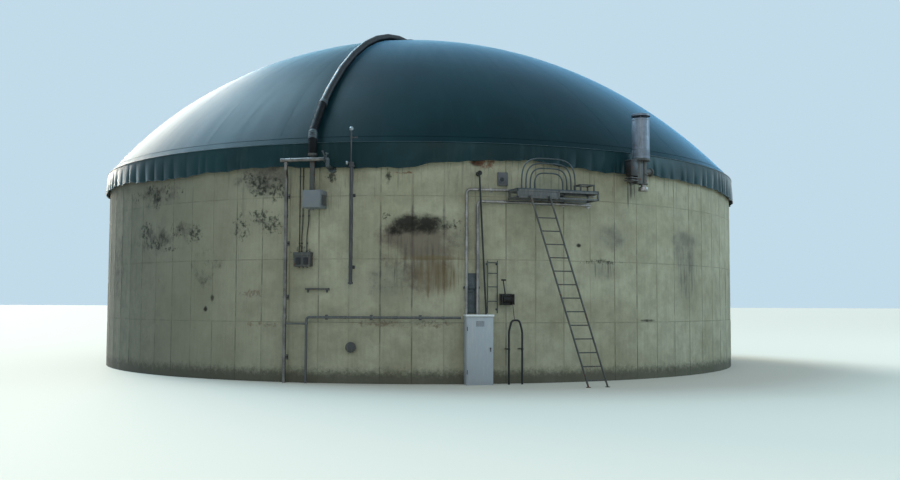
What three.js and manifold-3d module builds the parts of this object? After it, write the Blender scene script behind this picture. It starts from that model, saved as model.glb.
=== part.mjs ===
// Biogas digester: a round concrete tank under a cambered gas membrane, with its pipework,
// support-air blower, service platform and pressure relief device. Millimetres, +Z up.
// The floor slab lies on z = 0, the tank axis is the Z axis and the service side faces -Y.
// Bearings are degrees around the tank from -Y, growing towards +X.
// Fittings are drawn on wall seats: across to the right, out from the wall face, and up.
import * as THREE from 'three';
import Module from 'manifold-3d';
import { mergeVertices } from 'three/addons/utils/BufferGeometryUtils.js';

const wasm = await Module();
wasm.setup();

// Clearance between pieces that touch
const GAP = 0.3;

// Tank of flat formwork panels
const WALL_RADIUS = 10000;
const WALL_THICKNESS = 250;
const WALL_HEIGHT = 5700;
const SLAB_THICKNESS = 250;
const PANEL_COUNT = 84;
const PANELS_PER_SEGMENT = 7;
const PANEL_PHASE = -1.33;

// Clamped membrane roof
const RIM_RADIUS = 10070;
const RIM_HEIGHT = 5680;
const ROOF_RISE = 4730;
const ROOF_LEAN = 180;
const MEMBRANE_THICKNESS = 12;
const ROOF_RINGS = 10;
const RAIL_HEIGHT = 70;
const RAIL_RADIUS = 10060;
const SKIRT_TOP_RADIUS = RIM_RADIUS + GAP;
const SKIRT_HEM_RADIUS = 10105;
const SKIRT_LIP = 4;
const SKIRT_DROP = 540;
const SKIRT_THICKNESS = 6;

// Support-air line
const HOSE_RADIUS = 100;
const HOSE_CLEARANCE = 3;
const HOSE_BEARING = -16.33;
const HOSE_DRIFT = 1.05;
const HOSE_BREAK = 8.72;
const COUPLING_RADIUS = 118;
const COUPLING_HALF = 60;
const BLOWER_BEARING = -14.74;
const BLOWER_WIDTH = 450;
const BLOWER_DEPTH = 430;
const BLOWER_HEIGHT = 420;
const BLOWER_BASE = 4110;
const DUCT_OUT = 235;
const DUCT_TOP = 5420;
const DUCT_RADIUS = 62;

// Electrics beside the blower
const JUNCTION_BEARING = -16.3;
const JUNCTION_BASE = 2745;
const JUNCTION_TOP = 3085;
const CABLE_RADIUS = 11;

// Gas pipes
const GAS_PIPE_RADIUS = 43;
const RISER_BEARING = -18.7;
const RISER_HEAD_BEARING = -18.22;
const RISER_RADIUS = WALL_RADIUS + 150;
const RIM_PIPE_RADIUS = 45;
const RIM_PIPE_RING = WALL_RADIUS + 360;
const RIM_PIPE_BASE = 5215;
const RIM_PIPE_START = -18.95;
const RIM_PIPE_END = -12.96;
const ELBOW_BEARING = -12.75;

// Level standpipe and probe mast
const STANDPIPE_BEARING = -9.45;
const STANDPIPE_OUT = 210;
const STANDPIPE_BASE = 2330;
const STANDPIPE_TOP = 5130;

// Low pipe
const LOW_PIPE_RADIUS = 30;
const LOW_PIPE_RING = WALL_RADIUS + 130;
const LOW_PIPE_HEIGHT = 1550;
const LOW_PIPE_DROP = -15.6;
const LOW_PIPE_END = 5.2;

// Heating pipes and manifold cabinet
const HEATING_PIPE_RADIUS = 36;
const HEATING_RING = WALL_RADIUS + 95;
const FLOW_BEARING = 5.95;
const FLOW_HEIGHT = 4575;
const FLOW_END = 24.9;
const RETURN_BEARING = 7.45;
const RETURN_HEIGHT = 4295;
const RETURN_END = 24.0;
const CABINET_BEARING = 7.5;
const CABINET_TOP = 1630;

// Service platform
const PLATFORM_BEARING = 17.956;
const PLATFORM_LOW = -1150;
const PLATFORM_HIGH = 970;
const PLATFORM_OUT = 700;
const PLATFORM_BACK = 141;
const PLATFORM_BASE = 4340;
const PLATFORM_TOP = 4540;
const PLATFORM_TUBE = 44;
const PLANK_THICKNESS = 30;
const LADDER_WIDTH = 490;
const LADDER_RUNGS = 14;

// Mixer gear
const WINCH_BEARING = 11.45;
const DRUM_HEIGHT = 1985;
const DRUM_OUT = 190;
const HOOP_BEARING = 12.4;
const HOOP_OUT = 250;

// Pressure relief device
const RELIEF_BEARING = 31.6;
const RELIEF_OUT = 425;
const COLUMN_ACROSS = 75;
const COLUMN_FOOT = 4860;
const VESSEL_BASE = 5500;
const VESSEL_TOP = 6515;
const VESSEL_RADIUS = 222;

const rad = THREE.MathUtils.degToRad;
const TANK_AXIS = new THREE.Vector3(0, 0, 1);
const PANEL_ANGLE = 360 / PANEL_COUNT;
const APOTHEM = WALL_RADIUS * Math.cos(rad(PANEL_ANGLE / 2));
const INNER_RADIUS = WALL_RADIUS - WALL_THICKNESS;

const finishes = {
  painted_concrete: { color: 0xb3b58f, roughness: 0.9, metalness: 0.0 },
  raw_concrete: { color: 0x9a9a90, roughness: 0.95, metalness: 0.0 },
  green_membrane: { color: 0x1f4a45, roughness: 0.5, metalness: 0.0 },
  green_skirt: { color: 0x16332d, roughness: 0.6, metalness: 0.0 },
  stainless: { color: 0xb4b8b8, roughness: 0.35, metalness: 0.9 },
  galvanised: { color: 0x8e9494, roughness: 0.55, metalness: 0.7 },
  grey_plastic: { color: 0x7c8284, roughness: 0.55, metalness: 0.0 },
  black_rubber: { color: 0x1d2022, roughness: 0.7, metalness: 0.0 },
  dark_steel: { color: 0x3a3533, roughness: 0.6, metalness: 0.6 },
  cabinet_grey: { color: 0xb9bcb4, roughness: 0.6, metalness: 0.0 },
};

const digester = new THREE.Group();
digester.name = 'biogas_digester';

/** A point at a bearing around the tank, a radius and a height. */
function at(bearing, radius, z) {
  return new THREE.Vector3(radius * Math.sin(rad(bearing)), -radius * Math.cos(rad(bearing)), z);
}

/** Bearing of the middle of the flat wall panel that holds a bearing. */
function panelMiddle(bearing) {
  return PANEL_PHASE + (Math.floor((bearing - PANEL_PHASE) / PANEL_ANGLE) + 0.5) * PANEL_ANGLE;
}

/** A nested group whose origin lies on the flat wall panel that holds a bearing, -Y facing out. */
function wallSeat(bearing) {
  const middle = panelMiddle(bearing);
  const turn = new THREE.Group();
  turn.rotation.z = rad(middle);
  const seat = new THREE.Group();
  seat.position.set(APOTHEM * Math.tan(rad(bearing - middle)), -APOTHEM, 0);
  turn.add(seat);
  digester.add(turn);
  return seat;
}

/** Volume enclosed by a triangle mesh, negative when it faces inwards. */
function signedVolume(geometry) {
  const flat = geometry.index ? geometry.toNonIndexed() : geometry;
  const p = flat.attributes.position;
  const a = new THREE.Vector3();
  const b = new THREE.Vector3();
  const c = new THREE.Vector3();
  let sum = 0;
  for (let i = 0; i < p.count; i += 3) {
    a.fromBufferAttribute(p, i);
    b.fromBufferAttribute(p, i + 1);
    c.fromBufferAttribute(p, i + 2);
    sum += a.dot(b.cross(c));
  }
  return sum / 6;
}

/** The same mesh with shared corners merged, needle triangles dropped and faces turned outwards. */
function tidied(geometry) {
  const source = geometry.clone();
  source.deleteAttribute('normal');
  source.deleteAttribute('uv');
  const merged = mergeVertices(source, 1e-3);
  const index = merged.index.array;
  const flip = signedVolume(merged) < 0;
  const kept = [];
  for (let i = 0; i < index.length; i += 3) {
    const [a, b, c] = [index[i], index[i + 1], index[i + 2]];
    if (a !== b && b !== c && c !== a) {
      kept.push(a, flip ? c : b, flip ? b : c);
    }
  }
  merged.setIndex(kept);
  return merged;
}

function toManifold(geometry) {
  const clean = tidied(geometry);
  return new wasm.Manifold(new wasm.Mesh({
    numProp: 3,
    vertProperties: new Float32Array(clean.attributes.position.array),
    triVerts: new Uint32Array(clean.index.array),
  }));
}

/** One solid from several that overlap. */
function joined(...geometries) {
  let solid = toManifold(geometries[0]);
  for (const geometry of geometries.slice(1)) {
    solid = solid.add(toManifold(geometry));
  }
  const mesh = solid.getMesh();
  const geometry = new THREE.BufferGeometry();
  geometry.setAttribute('position', new THREE.BufferAttribute(new Float32Array(mesh.vertProperties), 3));
  geometry.setIndex(new THREE.BufferAttribute(new Uint32Array(mesh.triVerts), 1));
  return geometry;
}

/** Adds a named solid with its finish to a group. */
function addPiece(name, geometry, finish, parent = digester) {
  const clean = tidied(geometry);
  clean.computeVertexNormals();
  const mesh = new THREE.Mesh(clean, new THREE.MeshStandardMaterial(finishes[finish]));
  mesh.name = name;
  parent.add(mesh);
}

/** A box on a wall seat from its ranges across, out from the wall and up. */
function seatBlock([x0, x1], [out0, out1], [z0, z1]) {
  const geometry = new THREE.BoxGeometry(x1 - x0, out1 - out0, z1 - z0);
  geometry.translate((x0 + x1) / 2, -(out0 + out1) / 2, (z0 + z1) / 2);
  return geometry;
}

/** A round bar between two points, tapered if an end radius is given. */
function bar(from, to, radius, sides = 12, endRadius = radius) {
  const geometry = new THREE.CylinderGeometry(endRadius, radius, from.distanceTo(to), sides);
  const up = new THREE.Vector3(0, 1, 0);
  const turn = new THREE.Quaternion().setFromUnitVectors(up, to.clone().sub(from).normalize());
  geometry.applyQuaternion(turn);
  const middle = from.clone().add(to).multiplyScalar(0.5);
  geometry.translate(middle.x, middle.y, middle.z);
  return geometry;
}

/** A point on a wall seat, given across, out from the wall and up. */
function seatPoint(x, out, z) {
  return new THREE.Vector3(x, -out, z);
}

/** A round bar on a wall seat between two places given across, out and up. */
function seatBar(from, to, radius, sides = 12, endRadius = radius) {
  return bar(seatPoint(...from), seatPoint(...to), radius, sides, endRadius);
}

/** A route that steps from one listed point to the next. */
class Route extends THREE.Curve {
  constructor(points) {
    super();
    this.points = points;
  }

  getPoint(t) {
    const span = t * (this.points.length - 1);
    const i = Math.min(Math.floor(span + 1e-9), this.points.length - 2);
    return this.points[i].clone().lerp(this.points[i + 1], span - i);
  }

  getPointAt(u) {
    return this.getPoint(u);
  }

  getTangentAt(u) {
    const i = Math.round(u * (this.points.length - 1));
    const before = this.points[Math.max(i - 1, 0)];
    const after = this.points[Math.min(i + 1, this.points.length - 1)];
    return after.clone().sub(before).normalize();
  }
}

/** The same route with each inner corner rounded to a bend. */
function rounded(points, bend, steps = 4) {
  const route = [points[0].clone()];
  for (let i = 1; i < points.length - 1; i += 1) {
    const inward = points[i - 1].clone().sub(points[i]);
    const outward = points[i + 1].clone().sub(points[i]);
    const reach = Math.min(bend, inward.length() * 0.49, outward.length() * 0.49);
    const a = points[i].clone().addScaledVector(inward.normalize(), reach);
    const b = points[i].clone().addScaledVector(outward.normalize(), reach);
    const arc = new THREE.QuadraticBezierCurve3(a, points[i].clone(), b);
    route.push(...arc.getPoints(steps));
  }
  route.push(points[points.length - 1].clone());
  return route;
}

/** A round pipe swept along a route. */
function pipe(points, radius, sides = 10) {
  const section = new THREE.Shape();
  for (let i = 0; i < sides; i += 1) {
    const turn = (2 * Math.PI * i) / sides;
    const place = i === 0 ? 'moveTo' : 'lineTo';
    section[place](radius * Math.cos(turn), radius * Math.sin(turn));
  }
  section.closePath();
  return new THREE.ExtrudeGeometry(section, {
    steps: points.length - 1,
    extrudePath: new Route(points),
    bevelEnabled: false,
  });
}

/** Points along the tank at one height and radius, every few degrees. */
function arcRoute(fromBearing, toBearing, radius, z, step) {
  const count = Math.max(1, Math.round(Math.abs(toBearing - fromBearing) / step));
  const points = [];
  for (let i = 0; i <= count; i += 1) {
    points.push(at(fromBearing + ((toBearing - fromBearing) * i) / count, radius, z));
  }
  return points;
}

/** A clip that holds a pipe off the wall: a square stub from just off the wall to the pipe. */
function wallClip(bearing, radius, z, size) {
  const middle = panelMiddle(bearing);
  const across = APOTHEM * Math.tan(rad(bearing - middle));
  const out = radius * Math.cos(rad(bearing - middle));
  const half = size / 2;
  const stub = seatBlock([across - half, across + half], [APOTHEM + GAP, out], [z - half, z + half]);
  stub.rotateZ(rad(middle));
  return stub;
}

/** A ring, or with no inner radius a disc, whose corners lie on the panel joints. */
function panelRing(innerRadius, outerRadius, z, height) {
  const shape = new THREE.Shape();
  const hole = new THREE.Path();
  for (let i = 0; i < PANEL_COUNT; i += 1) {
    const place = i === 0 ? 'moveTo' : 'lineTo';
    const outer = at(PANEL_PHASE + i * PANEL_ANGLE, outerRadius, 0);
    shape[place](outer.x, outer.y);
    const inner = at(PANEL_PHASE - i * PANEL_ANGLE, innerRadius, 0);
    hole[place](inner.x, inner.y);
  }
  shape.closePath();
  hole.closePath();
  if (innerRadius > 0) {
    shape.holes.push(hole);
  }
  const geometry = new THREE.ExtrudeGeometry(shape, { depth: height, bevelEnabled: false });
  geometry.translate(0, 0, z);
  return geometry;
}

/** A solid turned around the tank axis from a profile of radius and height pairs. */
function turned(profile) {
  const points = profile.map(([radius, z]) => new THREE.Vector2(radius, z));
  const geometry = new THREE.LatheGeometry(points, PANEL_COUNT, rad(PANEL_PHASE));
  geometry.rotateX(Math.PI / 2);
  return geometry;
}

/** Floor slab and the wall in segments of flat panels, which make an even polygon. */
function buildTank() {
  addPiece('floor_slab', panelRing(0, INNER_RADIUS - GAP, 0, SLAB_THICKNESS), 'raw_concrete');
  const trim = THREE.MathUtils.radToDeg(GAP / 2 / INNER_RADIUS);
  for (let s = 0; s < PANEL_COUNT / PANELS_PER_SEGMENT; s += 1) {
    const first = PANEL_PHASE + s * PANELS_PER_SEGMENT * PANEL_ANGLE;
    const bearings = [];
    for (let i = 0; i <= PANELS_PER_SEGMENT; i += 1) {
      bearings.push(first + i * PANEL_ANGLE);
    }
    bearings[0] += trim;
    bearings[PANELS_PER_SEGMENT] -= trim;
    const outline = bearings.map((b) => at(b, WALL_RADIUS, 0));
    outline.push(...bearings.reverse().map((b) => at(b, INNER_RADIUS, 0)));
    const shape = new THREE.Shape(outline.map((p) => new THREE.Vector2(p.x, p.y)));
    const wall = new THREE.ExtrudeGeometry(shape, { depth: WALL_HEIGHT, bevelEnabled: false });
    addPiece(`wall_${String(s + 1).padStart(2, '0')}`, wall, 'painted_concrete');
  }
}

const roofRadius = (RIM_RADIUS ** 2 + ROOF_RISE ** 2) / (2 * ROOF_RISE);
const roofCentre = RIM_HEIGHT + ROOF_RISE - roofRadius;
const roofEdgeAngle = Math.asin(RIM_RADIUS / roofRadius);

/** Radius and height of the roof outline, an arc, some rings down from the crown. */
function roofPoint(rings, offset = 0) {
  const angle = (roofEdgeAngle * rings) / ROOF_RINGS;
  const reach = roofRadius + offset;
  return [reach * Math.sin(angle), roofCentre + reach * Math.cos(angle)];
}

/** How far the inflated roof leans towards -X at a height. */
function roofLean(z) {
  const share = (z - RIM_HEIGHT) / ROOF_RISE;
  return ROOF_LEAN * share * (2 - share);
}

/** Clamp rail at the wall top, the cambered membrane and the rain skirt over the rail. */
function buildRoof() {
  const rail = panelRing(WALL_RADIUS + GAP, RAIL_RADIUS, RIM_HEIGHT - RAIL_HEIGHT, RAIL_HEIGHT - GAP);
  addPiece('clamp_rail', rail, 'galvanised');

  const profile = [];
  for (let ring = 0; ring <= ROOF_RINGS; ring += 1) {
    profile.push(roofPoint(ring));
  }
  profile.push([RIM_RADIUS - MEMBRANE_THICKNESS, RIM_HEIGHT]);
  for (let ring = ROOF_RINGS - 1; ring >= 0; ring -= 1) {
    profile.push(roofPoint(ring, -MEMBRANE_THICKNESS));
  }
  const membrane = turned(profile);
  const corners = membrane.attributes.position;
  for (let i = 0; i < corners.count; i += 1) {
    corners.setX(i, corners.getX(i) - roofLean(corners.getZ(i)));
  }
  addPiece('roof_membrane', membrane, 'green_membrane');

  addPiece('membrane_skirt', turned([
    [SKIRT_TOP_RADIUS, RIM_HEIGHT + SKIRT_LIP],
    [SKIRT_TOP_RADIUS + SKIRT_THICKNESS, RIM_HEIGHT + SKIRT_LIP],
    [SKIRT_HEM_RADIUS + SKIRT_THICKNESS, RIM_HEIGHT - SKIRT_DROP],
    [SKIRT_HEM_RADIUS, RIM_HEIGHT - SKIRT_DROP],
    [SKIRT_TOP_RADIUS, RIM_HEIGHT + SKIRT_LIP],
  ]), 'green_skirt');
}

/** A point of the air hose, some rings down the flat strip of roof between two panel joints. */
function hosePoint(rings, lift = 0) {
  const [radius, z] = roofPoint(rings, HOSE_RADIUS + HOSE_CLEARANCE + lift);
  const strip = radius * Math.cos(rad(PANEL_ANGLE / 2));
  const point = new THREE.Vector3(strip * Math.tan(rad(HOSE_DRIFT)), -strip, z);
  const lean = new THREE.Vector3(-roofLean(roofPoint(rings)[1]), 0, 0);
  return point.add(lean.applyAxisAngle(TANK_AXIS, -rad(HOSE_BEARING)));
}

/** Support-air hose from the crown, its coupling, the duct, and the blower on the wall. */
function buildAirLine() {
  const seat = new THREE.Group();
  seat.rotation.z = rad(HOSE_BEARING);
  digester.add(seat);

  const lastRing = 8;
  const upper = [];
  for (let ring = 1; ring <= lastRing; ring += 1) {
    upper.push(hosePoint(ring));
  }
  const coupling = hosePoint(HOSE_BREAK, COUPLING_RADIUS - HOSE_RADIUS);
  const down = coupling.clone().sub(upper[lastRing - 1]).normalize();
  const along = (distance) => coupling.clone().addScaledVector(down, distance);
  upper.push(along(-COUPLING_HALF));
  addPiece('air_hose_upper', pipe(upper, HOSE_RADIUS, 12), 'black_rubber', seat);
  const clamp = bar(along(GAP - COUPLING_HALF), along(COUPLING_HALF - GAP), COUPLING_RADIUS, 16);
  addPiece('hose_coupling', clamp, 'galvanised', seat);

  const across = APOTHEM * Math.tan(rad(BLOWER_BEARING - HOSE_BEARING));
  const rimLift = 110;
  const lower = [along(COUPLING_HALF)].concat(rounded([
    along(2 * COUPLING_HALF),
    hosePoint(9.4, 12),
    seatPoint(across - 60, APOTHEM + rimLift, 5960),
    seatPoint(across, APOTHEM + DUCT_OUT, 5730),
    seatPoint(across, APOTHEM + DUCT_OUT, DUCT_TOP),
  ], 160, 3));
  addPiece('air_hose_lower', pipe(lower, HOSE_RADIUS, 12), 'black_rubber', seat);

  const inlet = upper[0];
  const cuffBack = inlet.y + 190;
  const cuffBase = roofPoint(1)[1] + 15;
  const cuffHeight = 245;
  addPiece('crown_cuff', joined(
    seatBar([inlet.x, -cuffBack, cuffBase], [inlet.x, -cuffBack, cuffBase + cuffHeight], 150, 16),
    seatBar([inlet.x, -cuffBack, cuffBase + 115], [inlet.x, -inlet.y - 8, cuffBase + 101], 98, 12),
  ), 'galvanised', seat);

  const wall = wallSeat(BLOWER_BEARING);
  const blowerTop = BLOWER_BASE + BLOWER_HEIGHT;
  const ductEnd = DUCT_TOP - GAP;
  const cuffLength = 60;
  addPiece('air_duct', joined(
    seatBar([0, DUCT_OUT, blowerTop + GAP], [0, DUCT_OUT, ductEnd], DUCT_RADIUS, 14),
    seatBar([0, DUCT_OUT, ductEnd - cuffLength], [0, DUCT_OUT, ductEnd], 112, 14),
  ), 'dark_steel', wall);
  const left = -150;
  const standoff = 40;
  const railHeights = [BLOWER_BASE + 60, blowerTop - 60];
  addPiece('blower_box', joined(
    seatBlock([left, left + BLOWER_WIDTH], [standoff, standoff + BLOWER_DEPTH], [BLOWER_BASE, blowerTop]),
    seatBlock([left + 60, left + 110], [GAP, standoff + 20], railHeights),
    seatBlock([left + 115, left + 165], [GAP, standoff + 20], railHeights),
  ), 'grey_plastic', wall);
}

/** Junction box under the blower, the cables clipped between the two, and a ledge. */
function buildElectrics() {
  const seat = wallSeat(JUNCTION_BEARING);
  const lidBase = JUNCTION_TOP - 85;
  const plateHeights = [JUNCTION_BASE + 45, JUNCTION_BASE + 215];
  addPiece('junction_box', joined(
    seatBlock([-215, 215], [GAP, 150], [JUNCTION_BASE, JUNCTION_TOP - 20]),
    seatBlock([-225, 225], [GAP, 162], [lidBase, JUNCTION_TOP]),
    seatBlock([-160, -40], [150, 175], plateHeights),
    seatBlock([40, 160], [150, 175], plateHeights),
  ), 'dark_steel', seat);

  const cableOut = 30;
  const cableSpread = 20;
  const runs = [-120, -60, 70].map((x, i) => pipe([
    seatPoint(x, cableOut, JUNCTION_TOP + 10),
    seatPoint(x, cableOut, 3500),
    seatPoint(x + cableSpread * i, cableOut, 3800),
    seatPoint(x + cableSpread * i, cableOut, i < 2 ? 5150 : BLOWER_BASE - GAP),
  ], CABLE_RADIUS, 6));
  const saddleHeight = 22;
  const saddles = [[3440, 130], [3820, 150], [4060, 150], [4900, 0]].map(([z, right]) => (
    seatBlock([-150, right], [GAP, 36], [z, z + saddleHeight])
  ));
  addPiece('wall_cables', joined(...runs, ...saddles), 'black_rubber', seat);

  const ledge = seatBlock([-300, 300], [GAP, 70], [2195, 2235]);
  addPiece('wall_ledge', ledge, 'dark_steel', wallSeat(-14.3));
}

/** Gas riser on clips, the rim pipe across its head, and the elbow with its flanged stub. */
function buildGasPipes() {
  const route = rounded([
    at(RISER_BEARING, RISER_RADIUS, 0),
    at(RISER_BEARING, RISER_RADIUS, 4880),
    at(RISER_HEAD_BEARING, RIM_PIPE_RING, 5060),
    at(RISER_HEAD_BEARING, RIM_PIPE_RING, RIM_PIPE_BASE),
  ], 120, 4);
  const clips = [600, 2020, 3300, 4440].map((z) => wallClip(RISER_BEARING, RISER_RADIUS, z, 50));
  addPiece('gas_riser', joined(pipe(route, GAS_PIPE_RADIUS, 10), ...clips), 'stainless');

  const height = RIM_PIPE_BASE + GAP + RIM_PIPE_RADIUS;
  const rimRoute = arcRoute(RIM_PIPE_START, RIM_PIPE_END, RIM_PIPE_RING, height, 1.2);
  addPiece('rim_pipe', pipe(rimRoute, RIM_PIPE_RADIUS, 12), 'stainless');

  const out = 365;
  const x = 55;
  const foot = 5080;
  const elbow = pipe(rounded([
    seatPoint(-28, out, height),
    seatPoint(x, out, height),
    seatPoint(x, out, foot),
    seatPoint(x, GAP, foot),
  ], 70, 4), 52, 12);
  addPiece('rim_elbow', joined(
    elbow,
    seatBar([-30, out, height], [-8, out, height], 78, 16),
    seatBar([x, GAP, foot], [x, 26, foot], 100, 16),
    seatBar([15, out, height], [-75, out, height + 190], 20, 8),
    seatBar([0, out, height], [30, out, height + 130], 22, 8),
    seatBar([30, out, height + 120], [36, out, height + 146], 45, 12),
  ), 'dark_steel', wallSeat(ELBOW_BEARING));
}

/** Level standpipe on two clips, with the probe mast on its head. */
function buildStandpipe() {
  const seat = wallSeat(STANDPIPE_BEARING);
  const out = STANDPIPE_OUT;
  const clip = (z) => seatBlock([-28, 28], [GAP, out], [z, z + 60]);
  addPiece('standpipe', joined(
    seatBar([0, out, STANDPIPE_BASE], [0, out, STANDPIPE_TOP - 20], 44, 14),
    seatBar([0, out, STANDPIPE_TOP - 50], [0, out, STANDPIPE_TOP], 72, 14),
    seatBar([0, out, STANDPIPE_BASE], [0, out, STANDPIPE_BASE + 50], 60, 14),
    clip(4400),
    clip(2700),
  ), 'dark_steel', seat);

  const mastOut = out + 55;
  const mastBase = STANDPIPE_TOP + GAP;
  const mastTop = 6000;
  const glandOut = out + 20;
  const glandHeight = STANDPIPE_TOP + 48;
  const armBase = mastTop - 245;
  addPiece('probe_mast', joined(
    seatBar([0, mastOut, mastBase], [0, mastOut, mastTop], 16, 10),
    seatBar([0, out, mastBase], [0, out, STANDPIPE_TOP + 70], 60, 14),
    seatBlock([-20, 150], [mastOut - 16, mastOut + 16], [armBase, armBase + 30]),
    seatBar([0, mastOut, mastTop - 70], [0, mastOut, mastTop + 30], 48, 12),
    seatBar([-90, glandOut, glandHeight], [0, glandOut, glandHeight], 22, 10),
    seatBar([-125, glandOut, glandHeight], [-80, glandOut, glandHeight], 45, 12),
  ), 'dark_steel', seat);
}

/** Low pipe along the foot of the service side, with a branch to the gas riser. */
function buildLowPipe() {
  const route = rounded([
    at(LOW_PIPE_DROP, LOW_PIPE_RING, 0),
    at(LOW_PIPE_DROP, LOW_PIPE_RING, LOW_PIPE_HEIGHT),
    ...arcRoute(LOW_PIPE_DROP + 1, LOW_PIPE_END, LOW_PIPE_RING, LOW_PIPE_HEIGHT, 4),
  ], 110, 3);
  const clips = [-13.0, -6.8, -0.2].map((b) => wallClip(b, LOW_PIPE_RING, LOW_PIPE_HEIGHT, 36));
  const branchHeight = LOW_PIPE_HEIGHT - 155;
  const branchEnd = at(RISER_BEARING, LOW_PIPE_RING + 20, branchHeight);
  branchEnd.addScaledVector(at(RISER_BEARING + 90, 1, 0), GAS_PIPE_RADIUS + GAP);
  const branch = bar(at(LOW_PIPE_DROP, LOW_PIPE_RING, branchHeight), branchEnd, 22, 8);
  addPiece('low_pipe', joined(pipe(route, LOW_PIPE_RADIUS, 8), branch, ...clips), 'dark_steel');
}

/** One heating pipe: up from the cabinet, along the wall on clips, and into the wall. */
function heatingPipe(bearing, height, end, clipBearings) {
  const route = rounded([
    at(bearing, HEATING_RING, CABINET_TOP + GAP),
    at(bearing, HEATING_RING, height),
    ...arcRoute(bearing + 1.25, end, HEATING_RING, height, 4),
  ], 130, 3);
  const clips = clipBearings.map((b) => wallClip(b, HEATING_RING, height, 36));
  const tail = bar(at(end, HEATING_RING + 4, height), at(end, APOTHEM + 9, height), 30, 10);
  return joined(pipe(route, HEATING_PIPE_RADIUS, 8), ...clips, tail);
}

/** Heating flow and return, the bracket behind them and the manifold cabinet at their foot. */
function buildHeating() {
  const flow = heatingPipe(FLOW_BEARING, FLOW_HEIGHT, FLOW_END, [9.4, 20.0]);
  addPiece('heating_flow', flow, 'stainless');
  const back = heatingPipe(RETURN_BEARING, RETURN_HEIGHT, RETURN_END, [11.0, 20.0]);
  addPiece('heating_return', back, 'stainless');

  const bracketBase = CABINET_TOP + 605;
  addPiece('pipe_bracket', joined(
    seatBlock([-195, 195], [GAP, 54], [bracketBase, bracketBase + 55]),
    seatBlock([-150, 30], [GAP, 50], [bracketBase - 75, bracketBase - 35]),
    seatBlock([-100, 100], [GAP, 14], [CABINET_TOP + 20, CABINET_TOP + 970]),
  ), 'dark_steel', wallSeat(6.72));

  const lidBase = CABINET_TOP - 45;
  addPiece('manifold_cabinet', joined(
    seatBlock([-318, 318], [GAP, 330], [0, lidBase]),
    seatBlock([-335, 335], [GAP, 350], [lidBase, CABINET_TOP]),
  ), 'cabinet_grey', wallSeat(CABINET_BEARING));
}

/** Platform frame: a ring of tube at the top and the bottom, posts, wall arms and a kick plate. */
function platformFrame() {
  const tube = PLATFORM_TUBE;
  const front = [PLATFORM_OUT - tube, PLATFORM_OUT];
  const back = [PLATFORM_BACK, PLATFORM_BACK + tube];
  const middle = (PLATFORM_LOW + PLATFORM_HIGH - tube) / 2;
  const crossings = [PLATFORM_LOW, middle, PLATFORM_HIGH - tube];
  const height = [PLATFORM_BASE, PLATFORM_TOP];
  const parts = [];
  for (const z of [PLATFORM_BASE, PLATFORM_TOP - tube]) {
    const level = [z, z + tube];
    parts.push(seatBlock([PLATFORM_LOW, PLATFORM_HIGH], front, level));
    parts.push(seatBlock([PLATFORM_LOW, PLATFORM_HIGH], back, level));
    for (const x of crossings) {
      parts.push(seatBlock([x, x + tube], [back[0], front[1]], level));
    }
  }
  for (const x of crossings) {
    parts.push(seatBlock([x, x + tube], front, height));
    parts.push(seatBlock([x, x + tube], back, height));
  }
  for (const x of [-330, 270]) {
    parts.push(seatBlock([x, x + 60], back, height));
    parts.push(seatBlock([x, x + 60], [GAP, back[0]], [PLATFORM_BASE + 70, PLATFORM_BASE + 130]));
  }
  parts.push(seatBlock([PLATFORM_LOW, middle], [PLATFORM_OUT - 18, PLATFORM_OUT - 8], height));
  return joined(...parts);
}

/** Guard on the platform: nested bent tubes joined at their feet. */
function platformGuard(floorTop) {
  const middle = -215;
  const out = 400;
  const sill = 30;
  const parts = [seatBlock([-930, 500], [out - sill, out + sill], [floorTop + GAP, floorTop + sill])];
  for (let i = 0; i < 4; i += 1) {
    const reach = 700 - 110 * i;
    const top = 5330 - 115 * i;
    parts.push(pipe(rounded([
      seatPoint(middle - reach, out, floorTop + 10),
      seatPoint(middle - reach, out, top),
      seatPoint(middle + reach, out, top),
      seatPoint(middle + reach, out, floorTop + 10),
    ], 520 - 80 * i, 5), 18, 6));
  }
  return joined(...parts);
}

/** Low step frame that stands on the right end of the platform. */
function platformStep(base) {
  const section = 30;
  const top = base + 175;
  const rail = [top - section, top];
  const [left, right] = [545, 930];
  const [near, far] = [200, 560];
  const parts = [];
  for (const out of [near, far - section]) {
    const line = [out, out + section];
    parts.push(seatBlock([left, right], line, rail));
    parts.push(seatBlock([left, left + section], line, [base, top]));
    parts.push(seatBlock([right - section, right], line, [base, top]));
  }
  parts.push(seatBlock([left, left + section], [near, far], rail));
  parts.push(seatBlock([right - section, right], [near, far], rail));
  return joined(...parts);
}

/** Ladder that leans sideways up to the front of the platform. */
function accessLadder() {
  const padHeight = 16;
  const head = { x: -850, out: 760, z: PLATFORM_BASE };
  const foot = { x: 240, out: 1500, z: padHeight / 2 };
  const parts = [];
  for (const side of [0, LADDER_WIDTH]) {
    const [top, base] = [head.x + side, foot.x + side];
    const hook = head.z + 30;
    parts.push(seatBar([top, head.out, head.z + 60], [base, foot.out, foot.z], 22, 8));
    parts.push(seatBar([top, head.out, hook], [top, PLATFORM_OUT + GAP, hook], 16, 8));
    parts.push(seatBlock([base - 45, base + 45], [foot.out - 35, foot.out + 35], [0, padHeight]));
  }
  for (let i = 0; i < LADDER_RUNGS; i += 1) {
    const t = (i + 0.5) / LADDER_RUNGS;
    const x = head.x + t * (foot.x - head.x);
    const out = head.out + t * (foot.out - head.out);
    const z = head.z + t * (foot.z - head.z);
    parts.push(seatBar([x, out, z], [x + LADDER_WIDTH, out, z], 14, 6));
  }
  return joined(...parts);
}

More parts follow.
